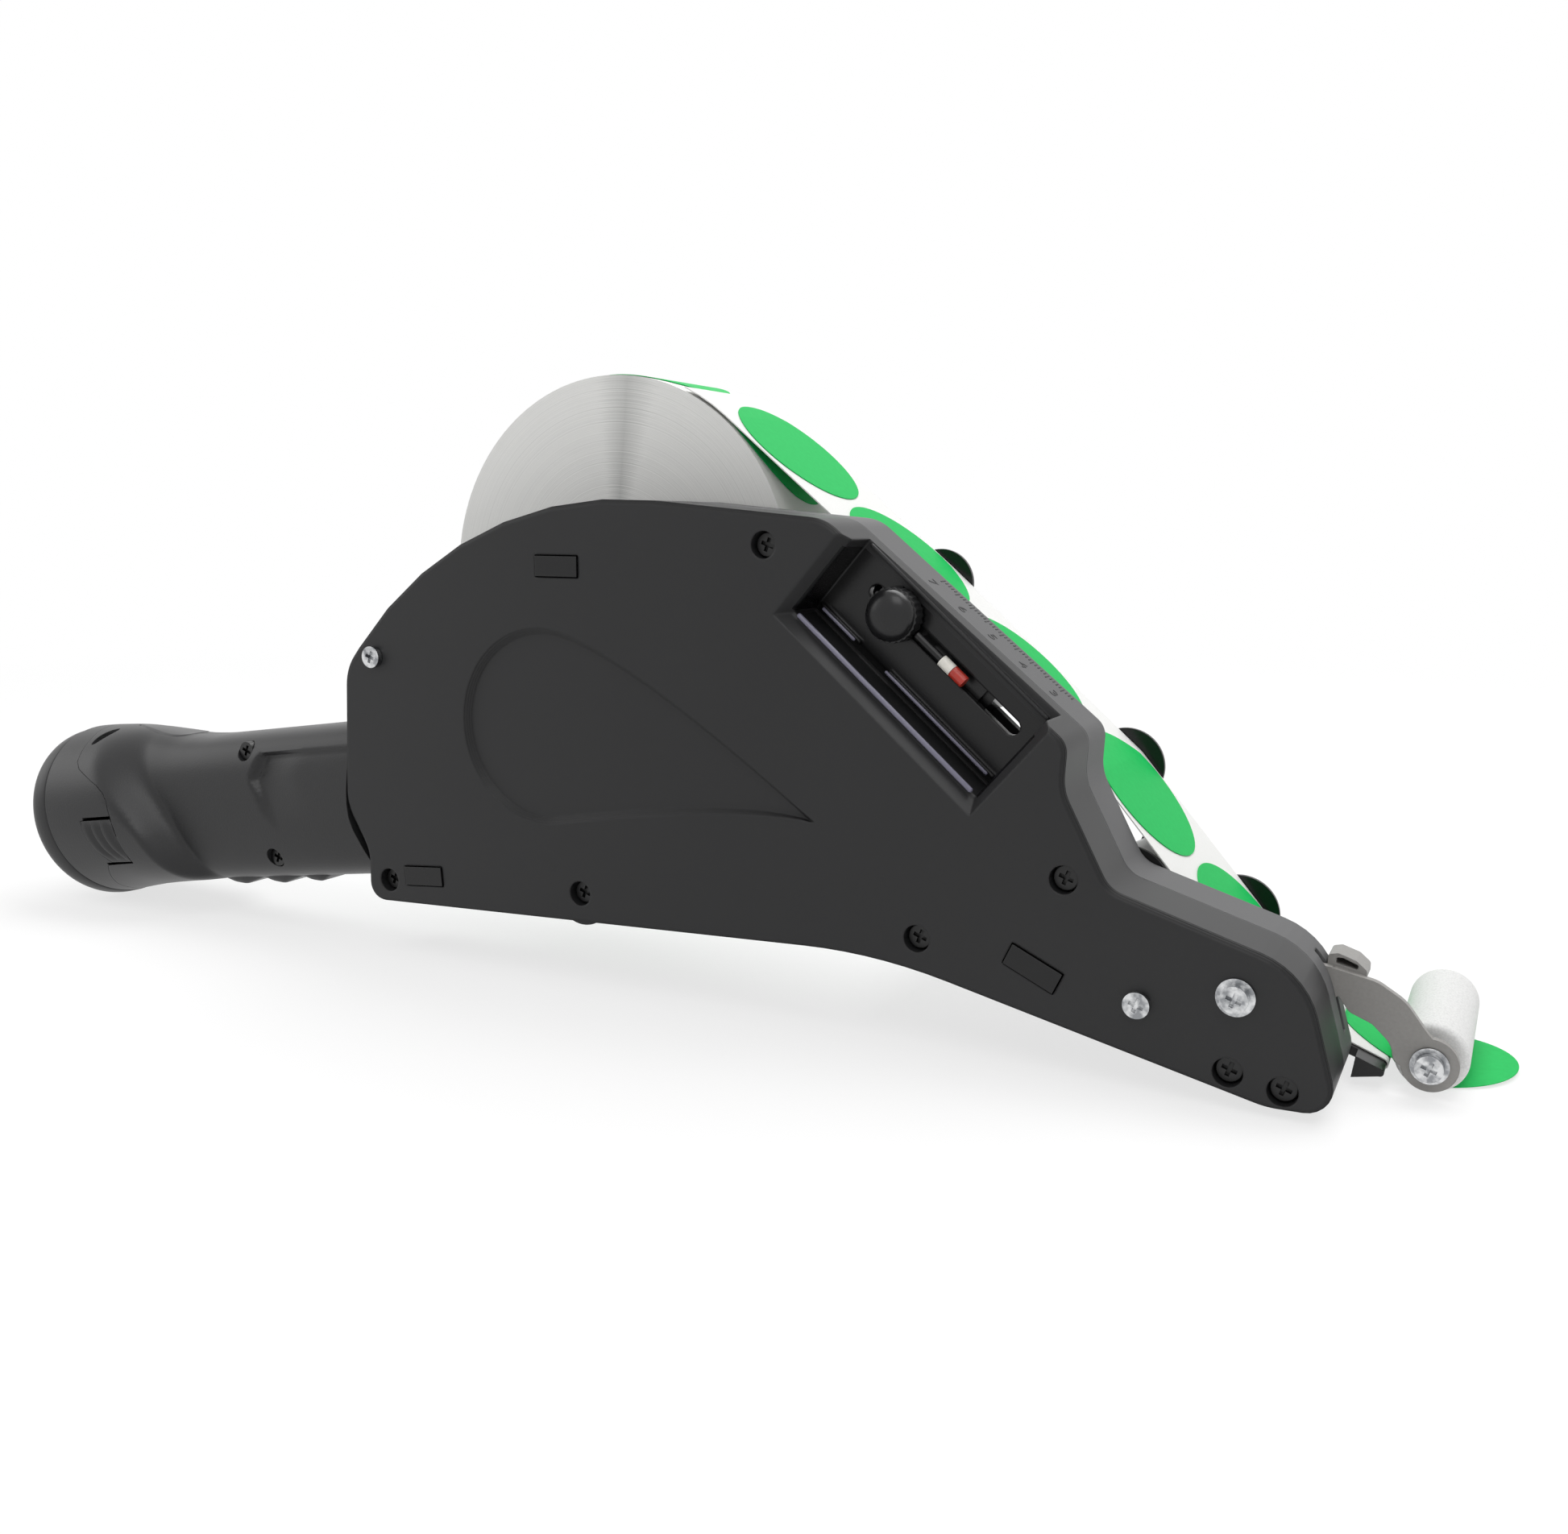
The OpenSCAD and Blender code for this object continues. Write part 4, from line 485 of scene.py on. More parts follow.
def halfWidth(u, n):
    # the bulge's width, less a smooth step across the slanting fold down to the grip's width
    share = u / handle["length"]
    wide = softened(share, handle["along"], handle["bulge"], handle["blend"]) * handle["radius"]
    end = fold["end"] + fold["slant"] * (fold["level"] - n)
    band = fold["band"] + fold["bandSlant"] * (fold["level"] - n)
    band = band + fold["soft"] * smoothStep((n - fold["softFrom"]) / fold["softRun"])
    return wide + (handle["gripWidth"] - wide) * smoothStep((u - end + band) / band)


thumbRest = {"left": 79.0, "leftLevel": 8.0, "slant": 0.55, "wallRun": 2.4, "topLine": 15.4, "topRun": 1.6,
             "depth": 2.7, "lowShare": 0.22, "lowFrom": -6.0, "lowRun": 16.0, "easeFrom": 4.0,
             "easeRun": 16.0, "easeBy": 0.55, "endFrom": -9.0, "endRun": 8.0, "sideRun": 0.35}


def thumbDepth(u, n):
    # dimple, the product of smooth steps: steep at its slanting left wall and under its ridge, running out
    # downward and towards the housing
    rest = thumbRest
    past = u - rest["left"] - rest["slant"] * np.abs(rest["leftLevel"] - n)
    wall = smoothStep(past / rest["wallRun"])
    ridge = smoothStep((rest["topLine"] - n) / rest["topRun"])
    fade = rest["lowShare"] + (1 - rest["lowShare"]) * smoothStep((n - rest["lowFrom"]) / rest["lowRun"])
    ease = 1 - rest["easeBy"] * smoothStep((past - rest["easeFrom"]) / rest["easeRun"])
    end = smoothStep((n - rest["endFrom"]) / rest["endRun"])
    return rest["depth"] * wall * ridge * fade * ease * end


def handleSurface(wall, u, columns, dimple=True):
    # superellipse sections strung along the axis: reach times sin^power above it, half width times cos^power
    # across it, both less a wall, and the near side less the thumb rest
    angle = -np.linspace(0, 2 * math.pi, columns, endpoint=False)
    u, angle = np.meshgrid(u, angle, indexing="ij")
    power, top, low = section(u)
    c, s = np.cos(angle), np.sin(angle)
    n = np.where(s > 0, top - wall, low - wall) * np.sign(s) * np.abs(s) ** power
    y = (halfWidth(u, n) - wall) * np.sign(c) * np.abs(c) ** power
    if dimple:
        y = y + np.where(c < 0, thumbDepth(u, n), 0) * smoothStep(-c / thumbRest["sideRun"])
    return handlePlace(u, y, n)


def sidePrism(name, outline, low, high):
    # a flat shape of the side view, given along and above the axis, carried across the handle
    outline = np.asarray(outline, float)
    return solid(name, np.stack([handlePlace(outline[:, 0], y, outline[:, 1]) for y in (low, high)]))


def topPrism(name, u, y, low):
    # a flat shape of the view from above, given along and across the axis, carried up from a level
    return solid(name, np.stack([handlePlace(u, y, n) for n in (low, handle["outside"])]))


def block(name, u, y, n):
    return sidePrism(name, [(u[0], n[0]), (u[1], n[0]), (u[1], n[1]), (u[0], n[1])], y[0], y[1])


def roundBar(name, u, n, radius, low, high):
    turn = np.linspace(0, 2 * math.pi, 40, endpoint=False)
    return sidePrism(name, np.stack([u + radius * np.cos(turn), n + radius * np.sin(turn)], -1), low, high)


# Battery: its border with the grip in the side view, the gap there, and the stem that goes into the grip
battery = {
    "border": [(4.2, 31.0), (4.3, 27.7), (7.4, 24.6), (9.0, 20.4), (10.0, 17.8), (12.4, 15.6), (17.0, 13.2),
               (22.6, 10.2), (25.6, 7.6), (27.4, 4.9), (28.0, 1.4), (28.3, 0.0), (30.9, -15.2), (18.2, -15.6),
               (13.5, -20.0), (10.4, -23.2), (7.8, -27.7), (7.7, -31.0)],
    "seamGap": 0.24,
    "stem": ((17.5, 60.6), (-12.0, 12.0), (-16.0, 14.0)),
}

# Latches: slits as start, end, foot and top, left edge by height, right edge at foot and top, and their ribs
latch = {"slits": [(16.0, 28.2, -0.5, 0.5), (18.4, 31.2, -15.7, -14.7)], "low": -14.6, "high": -0.55,
         "left": [(-14.6, 21.4), (-11.6, 18.7), (-9.8, 17.4), (-6.9, 16.1), (-4.1, 15.3), (-0.5, 15.0)],
         "leftBlend": 0.8, "right": (30.5, 28.0), "play": 0.22, "floor": 18.4, "depth": 2.6, "ribs": 3,
         "ribStep": 4.1, "ribHeight": 0.75, "ribSteep": 1.25, "ribSink": 0.8, "ribEnd": 3.2,
         "ribFall": (4.0, 2.5)}

# End cap: its outline as places outward along its own axis and radii, its tilt, and where it starts
endCap = {"profile": [(0.3, 0.0), (0.3, 27.2), (0.7, 27.75), (1.2, 28.0), (5.2, 28.0), (6.3, 27.85),
                      (7.3, 27.5), (8.2, 26.9), (8.8, 26.3), (9.15, 25.6), (9.3, 24.8), (9.3, 21.0),
                      (9.0, 20.6), (9.0, 0.0)],
          "tilt": 15.0, "start": 0.2}


def borderPrism(shift):
    # all that lies on the battery's side of the border, moved along by a shift
    border = battery["border"]
    left = [(-handle["outside"], border[end][1]) for end in (-1, 0)]
    outline = [(u + shift, n) for u, n in border] + left
    return sidePrism("border", outline, -handle["outside"], handle["outside"])


def capSide():
    # all that lies beyond the plane where the end cap starts, which leans by the cap's tilt
    lean = math.radians(endCap["tilt"] - handle["rise"])
    c, s = math.cos(lean), math.sin(lean)
    start, far = endCap["start"], handle["beyond"]
    corners = [(start, -far), (start + far, -far), (start + far, far), (start, far)]
    return sidePrism("capSide", [(-a * c + b * s, -a * s - b * c) for a, b in corners], -far, far)


def latchEdges(n):
    # where a latch starts and ends along the handle, at a height above its axis
    left = softened(n, *zip(*latch["left"]), latch["leftBlend"])
    return left, np.interp(n, (latch["low"], latch["high"]), latch["right"])


def latchOutline(grow):
    n = np.linspace(latch["low"] - grow, latch["high"] + grow, 24)
    left, right = latchEdges(n)
    return np.concatenate([np.stack([left - grow, n], -1), np.stack([right + grow, n], -1)[::-1]])


def makeBattery(whole):
    # the handle on its side of the border, less the cap, the latches and their slits, and with its stem
    piece = duplicate(whole, "batterySkin")
    carve(piece, borderPrism(-battery["seamGap"]), "INTERSECT")
    carve(piece, capSide())
    for low, high in ((-handle["outside"], -latch["floor"]), (latch["floor"], handle["outside"])):
        carve(piece, sidePrism("latchPocket", latchOutline(latch["play"]), low, high))
        for slit in latch["slits"]:
            carve(piece, block("slit", slit[:2], (low, high), slit[2:]))
    carve(piece, block("stem", *battery["stem"]), "UNION")
    smoothFaces(piece)
    finishPiece(piece, finish["gripAbs"], "battery", "frame_plastic", "battery_pack")


def makeLatch(name, side, body, node):
    # the battery's skin between the slits; its ribs are smooth ramps that run parallel to its left edge
    levels = np.linspace(latch["low"], latch["high"], 60)
    n, share = np.meshgrid(levels, np.linspace(0, 1, 110), indexing="ij")
    left, right = latchEdges(n)
    u = left + (right - left) * share
    power, _, low = section(u)
    q = np.clip(np.abs(n) / low, 0, 1) ** (1 / power)
    skin = halfWidth(u, n) * np.sqrt(1 - q * q) ** power
    behind = (u - left) / latch["ribStep"]
    ramp = (1 - behind % 1.0) * (behind < latch["ribs"])
    footFall, topFall = latch["ribFall"]
    fall = smoothStep((n - latch["low"]) / footFall) * smoothStep((latch["high"] - n) / topFall)
    rib = latch["ribHeight"] * (smoothStep(ramp * latch["ribSteep"]) - latch["ribSink"]) * fall
    outer = side * (skin + rib * (behind < latch["ribEnd"]))
    inner = side * (skin - latch["depth"])
    rows = np.concatenate([handlePlace(u, outer, n), handlePlace(u, inner, n)[:, ::-1]], axis=1)
    finishPiece(solid(name, rows), finish["gripAbs"], body, "frame_plastic", node)


def revolve(name, profile, centre, axis, columns):
    # a profile of (along, radius) turned round an axis through a centre
    axis = np.asarray(axis, float) / np.linalg.norm(axis)
    side = np.cross(axis, (0.0, 1.0, 0.0)) if abs(axis[1]) < 0.9 else np.array((1.0, 0.0, 0.0))
    side = side / np.linalg.norm(side)
    other = np.cross(axis, side)
    along, radius = (np.asarray(v, float)[:, None, None] for v in zip(*profile))
    turn = np.linspace(0, 2 * math.pi, columns, endpoint=False)[None, :, None]
    spokes = np.cos(turn) * side + np.sin(turn) * other
    points = np.asarray(centre, float) + along * axis + np.maximum(radius, pointRadius / 100) * spokes
    return solid(name, points * mm, caps=False)


def makeCap():
    tilt = math.radians(endCap["tilt"])
    centre = (handle["ring"][0], middleY, handle["ring"][1])
    piece = revolve("batteryCap", endCap["profile"], centre, (-math.cos(tilt), 0, -math.sin(tilt)), 128)
    finishPiece(piece, finish["gripAbs"], "battery", "frame_plastic", "battery_end_cap")


# Grip: its wall and the room inside it, what is cut from it, and the gap on each side of its middle
grips = {"wall": 2.6, "room": (2.0, 125.0, 48), "screwPlaces": [(77.3, 16.24), (83.8, -16.5)],
         "screwRadius": 3.0, "wellEnd": -11.5, "triggerSlot": ((43.9, 96.6), (-6.3, 6.3), (-42.0, -14.0)),
         "reach": (-20.0, 140.0), "halfGap": 0.05}

# Rear edge of the housing, against which the grip ends, as offsets from a line, by height
housing = {"rear": -87.0, "gap": 0.3, "inside": -40.0,
           "rearEdge": [(7.6, 8.0), (7.7, 21.5), (7.4, 25.4), (6.4, 29.2), (4.8, 33.0), (3.0, 36.4),
                        (1.6, 39.9), (0.8, 43.6), (0.55, 47.4), (0.65, 54.0), (1.3, 66.0), (1.9, 80.0)]}

# Thumb pad: half widths by place along, and how proud, rounded, thick and deeply seated it is
pad = {"places": [14.75, 20, 26, 32, 37, 40.5, 42.3, 42.6],
       "halves": [0.2, 2.6, 4.6, 6.2, 6.8, 6.0, 3.2, 0.4],
       "blend": 0.8, "proud": 0.45, "edge": 0.9, "sink": 0.25, "thick": 2.4, "level": 20.0, "gap": 0.3,
       "spaceLow": 13.0}

# Lens of the charge lamp: a leaning oval across the bulge, recessed in its slot
chargeLens = {"centre": (11.8, -11.2), "half": (2.0, 4.9), "lean": 0.8, "play": 0.08, "recess": 0.9,
              "low": 20.8, "slotLow": 17.0, "rows": (-10.0, 40.0, 48), "columns": 96}


def housingSpace():
    # the housing in front of its rear edge, with a gap
    edge = [(housing["rear"] + x - housing["gap"], z) for x, z in housing["rearEdge"]]
    x, z = np.array(edge + [(housing["inside"], edge[end][1]) for end in (-1, 0)]).T
    rows = [np.stack(np.broadcast_arrays(x, y, z), -1) * mm for y in (-handle["beyond"], handle["beyond"])]
    return solid("housingSpace", np.stack(rows))


def padHalf(u):
    return softened(u, pad["places"], pad["halves"], pad["blend"])


def padSpace():
    u = np.linspace(pad["places"][0], pad["places"][-1], 40)
    half = padHalf(u) + pad["gap"]
    there, back = np.stack([u, half]), np.stack([u, -half])[:, ::-1]
    return topPrism("padSpace", *np.concatenate([there, back], axis=1), pad["spaceLow"])


def lensPrism(name, grow, low):
    turn = np.linspace(0, 2 * math.pi, 32, endpoint=False)
    (u, y), (halfLong, halfAcross) = chargeLens["centre"], chargeLens["half"]
    leaning = u + (halfLong + grow) * np.cos(turn) + chargeLens["lean"] * np.sin(turn)
    return topPrism(name, leaning, y + (halfAcross + grow) * np.sin(turn), low)


def makeLens():
    # the handle's skin, a little lower, inside the slot
    skin = handleSurface(chargeLens["recess"], np.linspace(*chargeLens["rows"]), chargeLens["columns"])
    piece = solid("chargeLens", skin)
    carve(piece, lensPrism("lensShape", -chargeLens["play"], chargeLens["low"]), "INTERSECT")
    smoothFaces(piece)
    finishPiece(piece, finish["knobAbs"], "housing", "black_plastic")


def makeGrips(near):
    # the handle on its side of the border, hollow, less all that meets it, then halved at its middle
    far = handle["beyond"]
    carve(near, borderPrism(0.0))
    room = handleSurface(grips["wall"], np.linspace(*grips["room"]), 64, dimple=False)
    carve(near, solid("gripRoom", room))
    carve(near, housingSpace())
    carve(near, block("triggerSlot", *grips["triggerSlot"]))
    carve(near, padSpace())
    for u, n in grips["screwPlaces"]:
        carve(near, roundBar("screwWell", u, n, grips["screwRadius"], -handle["outside"], grips["wellEnd"]))
    carve(near, lensPrism("lensSlot", 0.0, chargeLens["slotLow"]))
    other = duplicate(near, "gripFar")
    carve(near, block("nearHalf", grips["reach"], (-far, -grips["halfGap"]), (-far, far)), "INTERSECT")
    carve(other, block("farHalf", grips["reach"], (grips["halfGap"], far), (-far, far)), "INTERSECT")
    for piece, node in ((near, "grip_near"), (other, "grip_far")):
        smoothFaces(piece)
        finishPiece(piece, finish["gripAbs"], "housing", "frame_plastic", node)


def makePad():
    # the handle's top skin inside a leaf-shaped outline, raised by a smooth step from its edge inward
    share, along = np.meshgrid(np.linspace(-1, 1, 41), np.linspace(0, 1, 80), indexing="xy")
    start, end = pad["places"][0], pad["places"][-1]
    u = start + along * (end - start)
    half = padHalf(u)
    power, top, _ = section(u)
    c = np.clip(np.abs(share * half) / halfWidth(u, pad["level"]), 0, 1) ** (1 / power)
    skin = top * np.sqrt(1 - c * c) ** power
    edge = np.minimum((1 - np.abs(share)) * half, np.minimum(u - start, end - u))
    n = skin + pad["proud"] * smoothStep(edge / pad["edge"]) - pad["sink"]
    under = handlePlace(u, share * half, n - pad["thick"])[:, ::-1]
    rows = np.concatenate([handlePlace(u, share * half, n), under], axis=1)
    finishPiece(solid("powerPad", rows), finish["smoothAbs"], "button", "smooth_plastic", "power_button")


# Trigger: its place, half width and height, its edge radius, and its finger waves by share of its length
trigger = {"start": 44.25, "length": 52.0, "half": 5.9, "top": -21.4, "height": 4.1, "base": 0.6, "edge": 1.7,
           "thinnest": 0.05, "blend": 0.022,
           "along": [0.0, 0.08, 0.18, 0.27, 0.35, 0.43, 0.50, 0.59, 0.67, 0.75, 0.82, 0.90, 0.96, 1.0],
           "waves": [0.0, 0.42, 0.88, 1.05, 0.82, 0.55, 0.88, 1.08, 0.82, 0.55, 0.88, 1.02, 0.6, 0.1]}


def makeTrigger():
    # finger waves carried across the lever, less a quarter circle at each long edge
    share = np.linspace(0, 1, 150)[:, None]
    u = trigger["start"] + share * trigger["length"]
    waves = softened(share, trigger["along"], trigger["waves"], trigger["blend"])
    depth = waves * trigger["height"] + trigger["base"]
    edge, across = trigger["edge"], np.linspace(-1, 1, 25) * trigger["half"]
    past = np.clip(np.abs(across) - trigger["half"] + edge, 0, edge) / edge
    lift = edge * (1 - np.sqrt(np.clip(1 - past * past, 0, 1)))
    lower = handlePlace(u, across, trigger["top"] - np.maximum(depth - lift, trigger["thinnest"]))
    upper = handlePlace(u, np.array([trigger["half"], -trigger["half"]]), trigger["top"])
    piece = solid("triggerWaves", np.concatenate([lower, upper], axis=1))
    finishPiece(piece, finish["smoothAbs"], "trigger", "smooth_plastic", "trigger")


sections = np.concatenate([np.linspace(*run) for run in handle["rows"]])
wholeHandle = solid("gripNear", handleSurface(0.0, sections, handle["columns"]))
makeBattery(wholeHandle)
makeLens()
makeGrips(wholeHandle)
makeLatch("latchNear", -1, "latch_near", "latch_near")
makeLatch("latchFar", 1, "latch_far", "latch_far")
makePad()
makeCap()
makeTrigger()
print("handle built")

# Scale printed on the frame's sloping band, with a tick each millimetre and a numeral each centimetre; probes
# are the places where the band's height is measured, from a start outside it
ruler = {"first": -9.4, "count": 44, "edge": -2.9, "short": 1.7, "long": 3.0, "line": 0.3, "ink": 0.08,
         "tickY": -3.6, "numbers": ["7", "6", "5", "4", "3"], "numberY": -11.2, "numberSize": 5.0,
         "probes": (-8.0, 30.0), "probeStart": 160.0}


def bandHeight(along, y):
    # how far out the frame's band lies at a place on it, by a ray towards the tool
    (ax, az), (ox, oz) = slope["along"], slope["out"]
    start = Vector((ax * along + ox * ruler["probeStart"], y, az * along + oz * ruler["probeStart"]))
    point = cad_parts["main_frame"].ray_cast(start * mm, Vector((-ox, 0, -oz)))[1]
    return (point.x * ox + point.z * oz) / mm


bandHeights = [[bandHeight(along, ruler[side]) for along in ruler["probes"]] for side in ("numberY", "tickY")]
print("scale's band lies at", np.round(bandHeights, 2).tolist())


def bandPlace(along, y, above):
    # flat between the four measured places of the band: a straight line along each side of it, and one across
    first, last = ruler["probes"]
    low, high = (row[0] + (row[1] - row[0]) * (along - first) / (last - first) for row in bandHeights)
    share = (y - ruler["numberY"]) / (ruler["tickY"] - ruler["numberY"])
    out = low + (high - low) * share + above
    x, z = (along * slope["along"][i] + out * slope["out"][i] for i in (0, 1))
    return np.stack(np.broadcast_arrays(x, y, z), axis=-1) * mm


def makeTicks():
    # every tick is one flat bar; bars are rows of one array of corners
    number = np.arange(ruler["count"])
    start = ruler["edge"] - np.where(number % 5 == 0, ruler["long"], ruler["short"])
    centre = ruler["first"] + number
    along = centre[:, None] + np.array([-1, 1, 1, -1, -1, 1, 1, -1]) * ruler["line"] / 2
    y = np.where(np.array([0, 0, 1, 1, 0, 0, 1, 1]), ruler["edge"], start[:, None])
    corners = bandPlace(along, y, np.array([0, 0, 0, 0, 1, 1, 1, 1]) * ruler["ink"]).reshape(-1, 3)
    sides = np.array([(0, 3, 2, 1), (4, 5, 6, 7), (0, 1, 5, 4), (1, 2, 6, 5), (2, 3, 7, 6), (3, 0, 4, 7)])
    faces = (sides + 8 * number[:, None, None]).reshape(-1, 4)
    mesh = bpy.data.meshes.new("rulerTicks")
    mesh.from_pydata(corners.tolist(), [], faces.tolist())
    finishPiece(addObject("rulerTicks", mesh), finish["printingInk"], "housing", "black_plastic")


def makeNumbers():
    # each numeral is a flat letter shape, turned to lie on the band
    (ax, az), (ox, oz) = slope["along"], slope["out"]
    for step, numeral in enumerate(ruler["numbers"]):
        curve = bpy.data.curves.new("numeral", "FONT")
        curve.body, curve.size, curve.extrude = numeral, ruler["numberSize"] * mm, ruler["ink"] / 2 * mm
        curve.align_x, curve.align_y = "CENTER", "CENTER"
        text = addObject("numeral", curve)
        bpy.context.view_layer.update()
        shape = bpy.data.meshes.new_from_object(text)
        bpy.data.objects.remove(text)
        x, y, z = bandPlace(ruler["first"] + 10.0 * step, ruler["numberY"], ruler["ink"] / 2)
        shape.transform(Matrix(((ax, 0, ox, x), (0, 1, 0, y), (az, 0, oz, z), (0, 0, 0, 1))))
        piece = addObject("rulerNumber%d" % step, shape)
        finishPiece(piece, finish["printingInk"], "housing", "black_plastic")


knob = {"ribs": 26, "ribDepth": 0.32, "dome": 3.6, "skirtTop": 4.6, "edge": 0.5, "chamfer": 0.4, "gap": 0.15}


def makeKnob():
    # a shallow dome over a ribbed skirt: radius by height, less a cosine ripple round the skirt
    low, high = (np.array(corner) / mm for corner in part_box("sensor_knob"))
    x, z = (low[0] + high[0]) / 2, (low[2] + high[2]) / 2
    radius = (high[2] - low[2]) / 2
    tall = high[1] - low[1] - 2 * knob["gap"]
    arc = np.linspace(0, math.pi / 2, 14)
    crown = np.maximum((radius - knob["edge"]) * np.cos(arc), pointRadius)
    rise = tall - knob["dome"] * (1 - np.sin(arc))
    levels = np.concatenate([[0, 0, knob["chamfer"], knob["skirtTop"]], rise])
    widths = np.concatenate([[pointRadius, radius - knob["chamfer"], radius, radius], crown])
    ripple = np.concatenate([[0, 1, 1, 1], np.zeros(len(arc))])
    turn = np.linspace(0, 2 * math.pi, knob["ribs"] * 6, endpoint=False)
    wave = knob["ribDepth"] * (0.5 - 0.5 * np.cos(turn * knob["ribs"]))
    r = widths[:, None] - ripple[:, None] * wave
    y = high[1] - knob["gap"] - levels[:, None]
    points = np.stack(np.broadcast_arrays(x + r * np.cos(turn), y, z + r * np.sin(turn)), axis=-1) * mm
    piece = solid("knobDome", points, caps=False, angle=40)
    finishPiece(piece, finish["knobAbs"], "knob", "black_plastic", "sensor_knob")


# Polished beads along the tray's lips, pale in colour as a painted highlight of the light they reflect: each
# run's start and end along the slope and its place outward, all from the origin, its depth below the cover's
# face, and its radius
trayHighlightBeads = {"origin": (98.9445, 76.4431),
             "runs": [(-49.0, 10.6, -7.35, 2.9, 0.62), (-47.9, -36.4, -4.9, 11.4, 0.42),
                      (-25.7, 9.2, -4.9, 11.4, 0.42)]}


def makeTrayHighlightBeads():
    # a round bar for each run, whose radius follows a quarter circle at both ends
    origin, along, out = (np.array(pair) for pair in (trayHighlightBeads["origin"], slope["along"], slope["out"]))
    arc = np.linspace(0, math.pi / 2, 7)
    turn = np.linspace(0, 2 * math.pi, 20, endpoint=False)
    for number, (first, last, outward, depth, radius) in enumerate(trayHighlightBeads["runs"]):
        ends = [first + radius - radius * np.cos(arc), last - radius + radius * np.sin(arc)]
        u = np.concatenate(ends)[:, None]
        r = np.maximum(np.concatenate([radius * np.sin(arc), radius * np.cos(arc)]), pointRadius)[:, None]
        v = outward + r * np.cos(turn)
        y = faceY + depth + r * np.sin(turn)
        x, z = (origin[i] + u * along[i] + v * out[i] for i in (0, 1))
        piece = solid("trayBead%d" % number, np.stack([x, y, z], axis=-1) * mm, angle=60)
        finishPiece(piece, finish["beadAbs"], "housing", "cover_plastic")


foamRoller = {"round": 1.6, "bore": 2.2}


def makeFoamRoller():
    # foam sleeve with quarter-circle edges, its profile turned round the axle
    low, high = (np.array(corner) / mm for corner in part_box("foam_roller"))
    radius, half, edge = (high[2] - low[2]) / 2, (high[1] - low[1]) / 2, foamRoller["round"]
    turn = np.linspace(0, math.pi / 2, 7)
    right = [(half - edge + edge * math.sin(t), radius - edge + edge * math.cos(t)) for t in turn]
    outer = [(-a, r) for a, r in right[::-1]] + right
    bore = foamRoller["bore"]
    profile = [(-half, bore)] + outer + [(half, bore), (-half, bore)]
    piece = revolve("foamSleeveRound", profile, (low + high) / 2, (0, 1, 0), 96)
    finishPiece(piece, finish["spongeFoam"], "foam", "foam_white", "foam_roller")


makeTicks()
makeNumbers()
makeKnob()
makeTrayHighlightBeads()
makeFoamRoller()
print("small pieces built")

# Studio, in metres: the floor's half size and drop, how white it looks near the tool, and from where to where
# it fades to plain white; the light of the surroundings; lamps as place, target, size and power
studio = {"floorSize": 12.0, "floorDrop": 0.0002, "whiteShare": 0.72, "fadeStart": 0.35, "fadeEnd": 1.1,
          "surroundings": 0.40,
          "lamps": {"keyLamp": ((0.5, -1.3, 1.9), (0, 0, 0.08), (1.2, 1.2), 11.5),
                    "fillLamp": ((-1.6, -0.6, 0.9), (0, 0, 0.06), (1.2, 1.0), 4.0),
                    "topLamp": ((0.2, 0.5, 1.5), (0, 0, 0.08), (1.6, 0.9), 20.0)}}


def seenDirectly(tree):
    # 1 for rays from the camera and for those that mirror or clear surfaces send on, else 0
    rays = addNode(tree, "ShaderNodeLightPath")
    seen = addNode(tree, "ShaderNodeMath", {"operation": "MAXIMUM"}, i0=(rays, "Is Camera Ray"),
                   i1=(rays, "Is Glossy Ray"))
    return addNode(tree, "ShaderNodeMath", {"operation": "MAXIMUM"}, i0=(seen, 0),
                   i1=(rays, "Is Transmission Ray"))


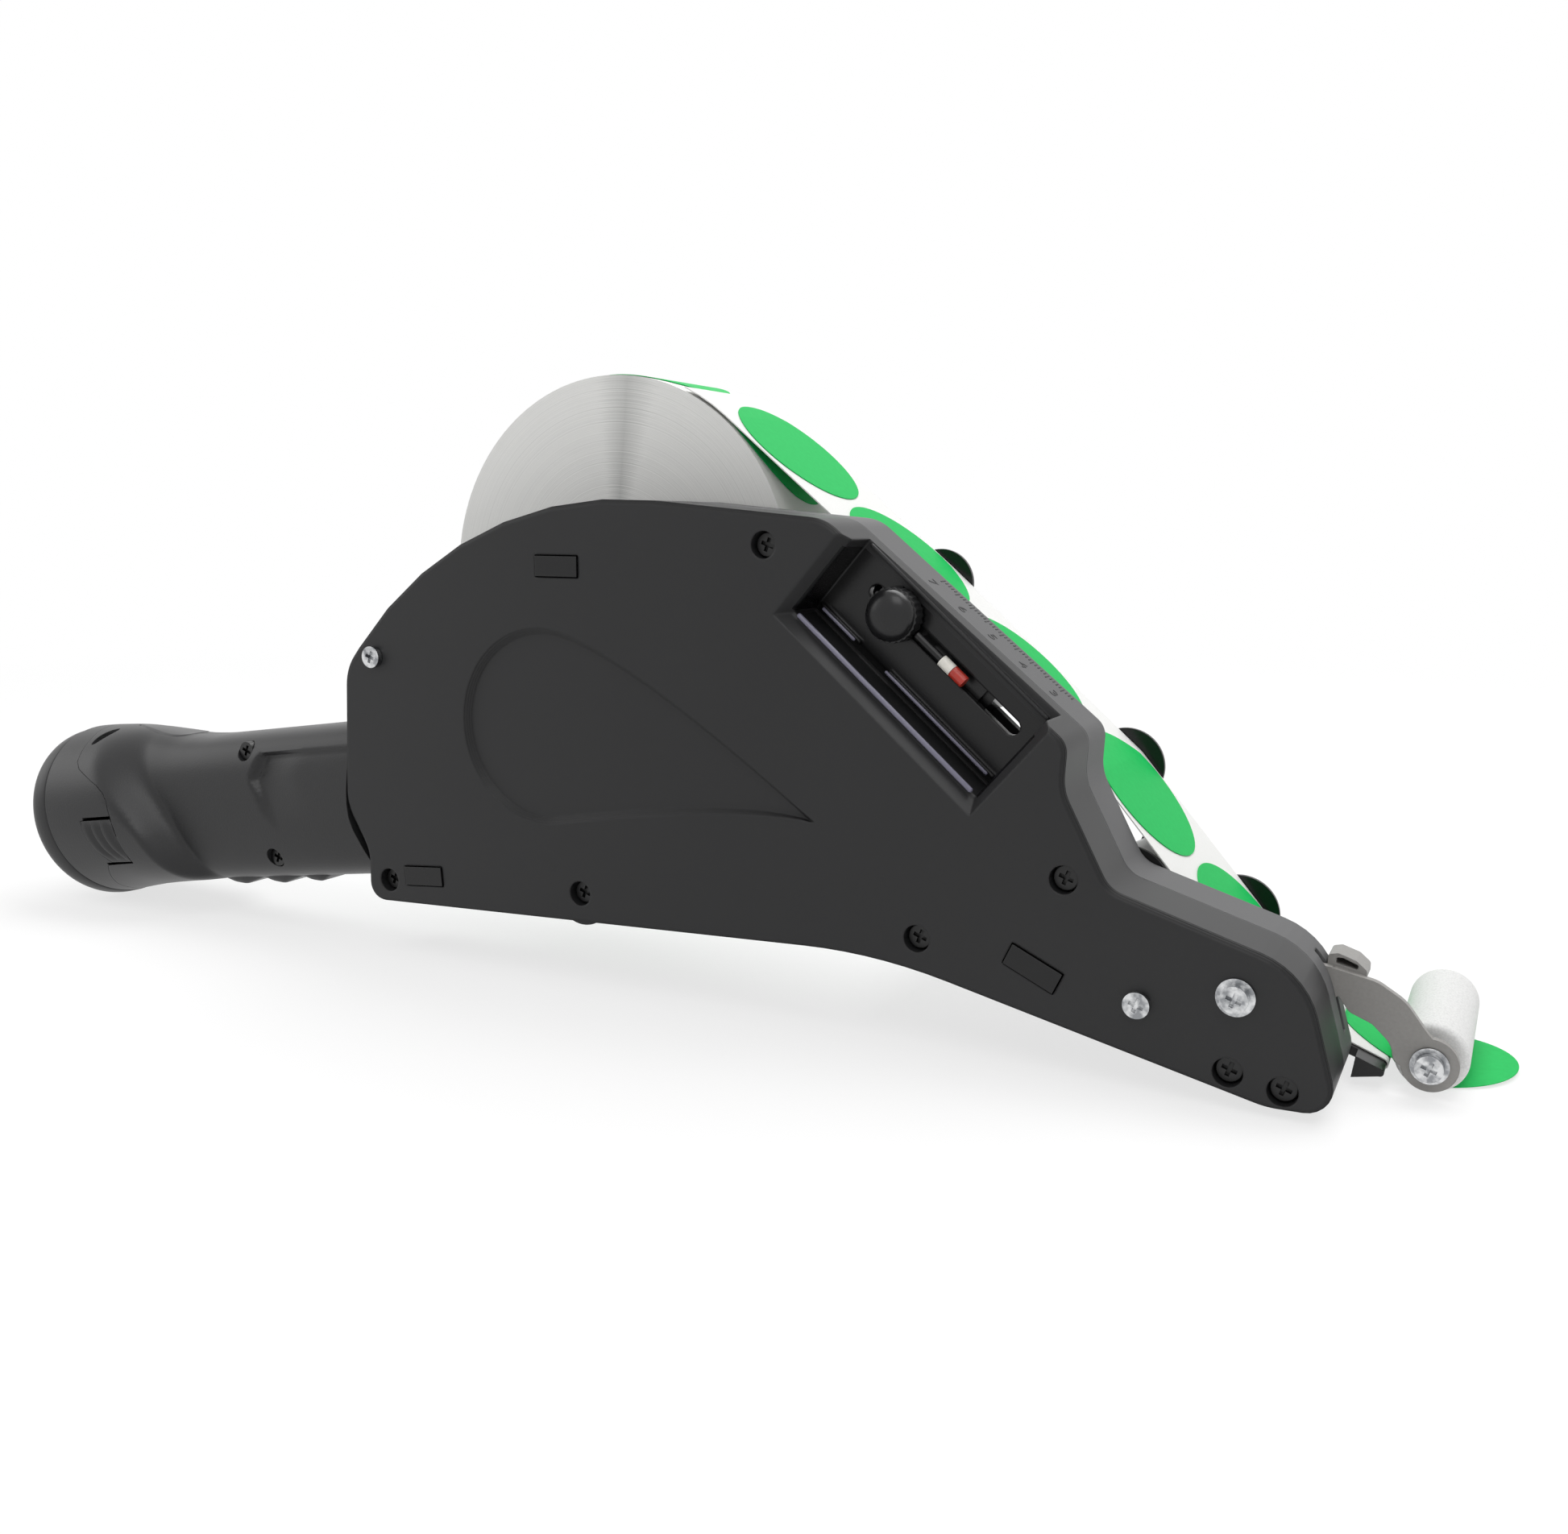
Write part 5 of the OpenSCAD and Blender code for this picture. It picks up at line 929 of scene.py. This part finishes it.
def makeFloor():
    # flat pale paper, seen as plain white away from the tool, so that only the soft shadow near it shows
    reach = np.linspace(-studio["floorSize"], studio["floorSize"], 3)
    x, y = np.meshgrid(reach, reach, indexing="ij")
    floor = gridPiece("studioFloor", np.stack([x, y, 0 * x - studio["floorDrop"]], axis=-1))
    material = bpy.data.materials.new("palePaper")
    material.use_nodes = True
    tree = material.node_tree
    tree.nodes.clear()
    coords = addNode(tree, "ShaderNodeTexCoord")
    away = addNode(tree, "ShaderNodeVectorMath", {"operation": "LENGTH"}, i0=(coords, "Object"))
    fade = addNode(tree, "ShaderNodeMapRange", i0=(away, "Value"), i1=studio["fadeStart"],
                   i2=studio["fadeEnd"], i3=studio["whiteShare"], i4=1.0)
    share = addNode(tree, "ShaderNodeMath", {"operation": "MULTIPLY"}, i0=(seenDirectly(tree), 0),
                    i1=(fade, 0))
    paper = addNode(tree, "ShaderNodeBsdfDiffuse", Color=linear("#fbfbfb"))
    white = addNode(tree, "ShaderNodeEmission", Color=linear("#ffffff"), Strength=1.0)
    sheet = addNode(tree, "ShaderNodeMixShader", i0=(share, 0), i1=(paper, 0), i2=(white, 0))
    addNode(tree, "ShaderNodeOutputMaterial", Surface=(sheet, 0))
    floor.data.materials.append(material)


def areaLamp(name, place, target, size, power):
    lamp = bpy.data.lights.new(name, "AREA")
    lamp.shape = "RECTANGLE"
    lamp.size, lamp.size_y = size
    lamp.energy = power
    holder = addObject(name, lamp)
    away = (Vector(place) - Vector(target)).normalized()
    holder.rotation_euler = away.to_track_quat("Z", "Y").to_euler()
    holder.location = place


def makeWorld():
    # even light from all round, that looks plain white itself
    world = bpy.data.worlds.new("studio")
    bpy.context.scene.world = world
    world.use_nodes = True
    tree = world.node_tree
    tree.nodes.clear()
    dim = addNode(tree, "ShaderNodeBackground", Color=linear("#ffffff"), Strength=studio["surroundings"])
    white = addNode(tree, "ShaderNodeBackground", Color=linear("#ffffff"), Strength=1.0)
    blend = addNode(tree, "ShaderNodeMixShader", i0=(seenDirectly(tree), 0), i1=(dim, 0), i2=(white, 0))
    addNode(tree, "ShaderNodeOutputWorld", Surface=(blend, 0))


makeFloor()
for lampName, settings in studio["lamps"].items():
    areaLamp(lampName, *settings)
makeWorld()
print("studio set")
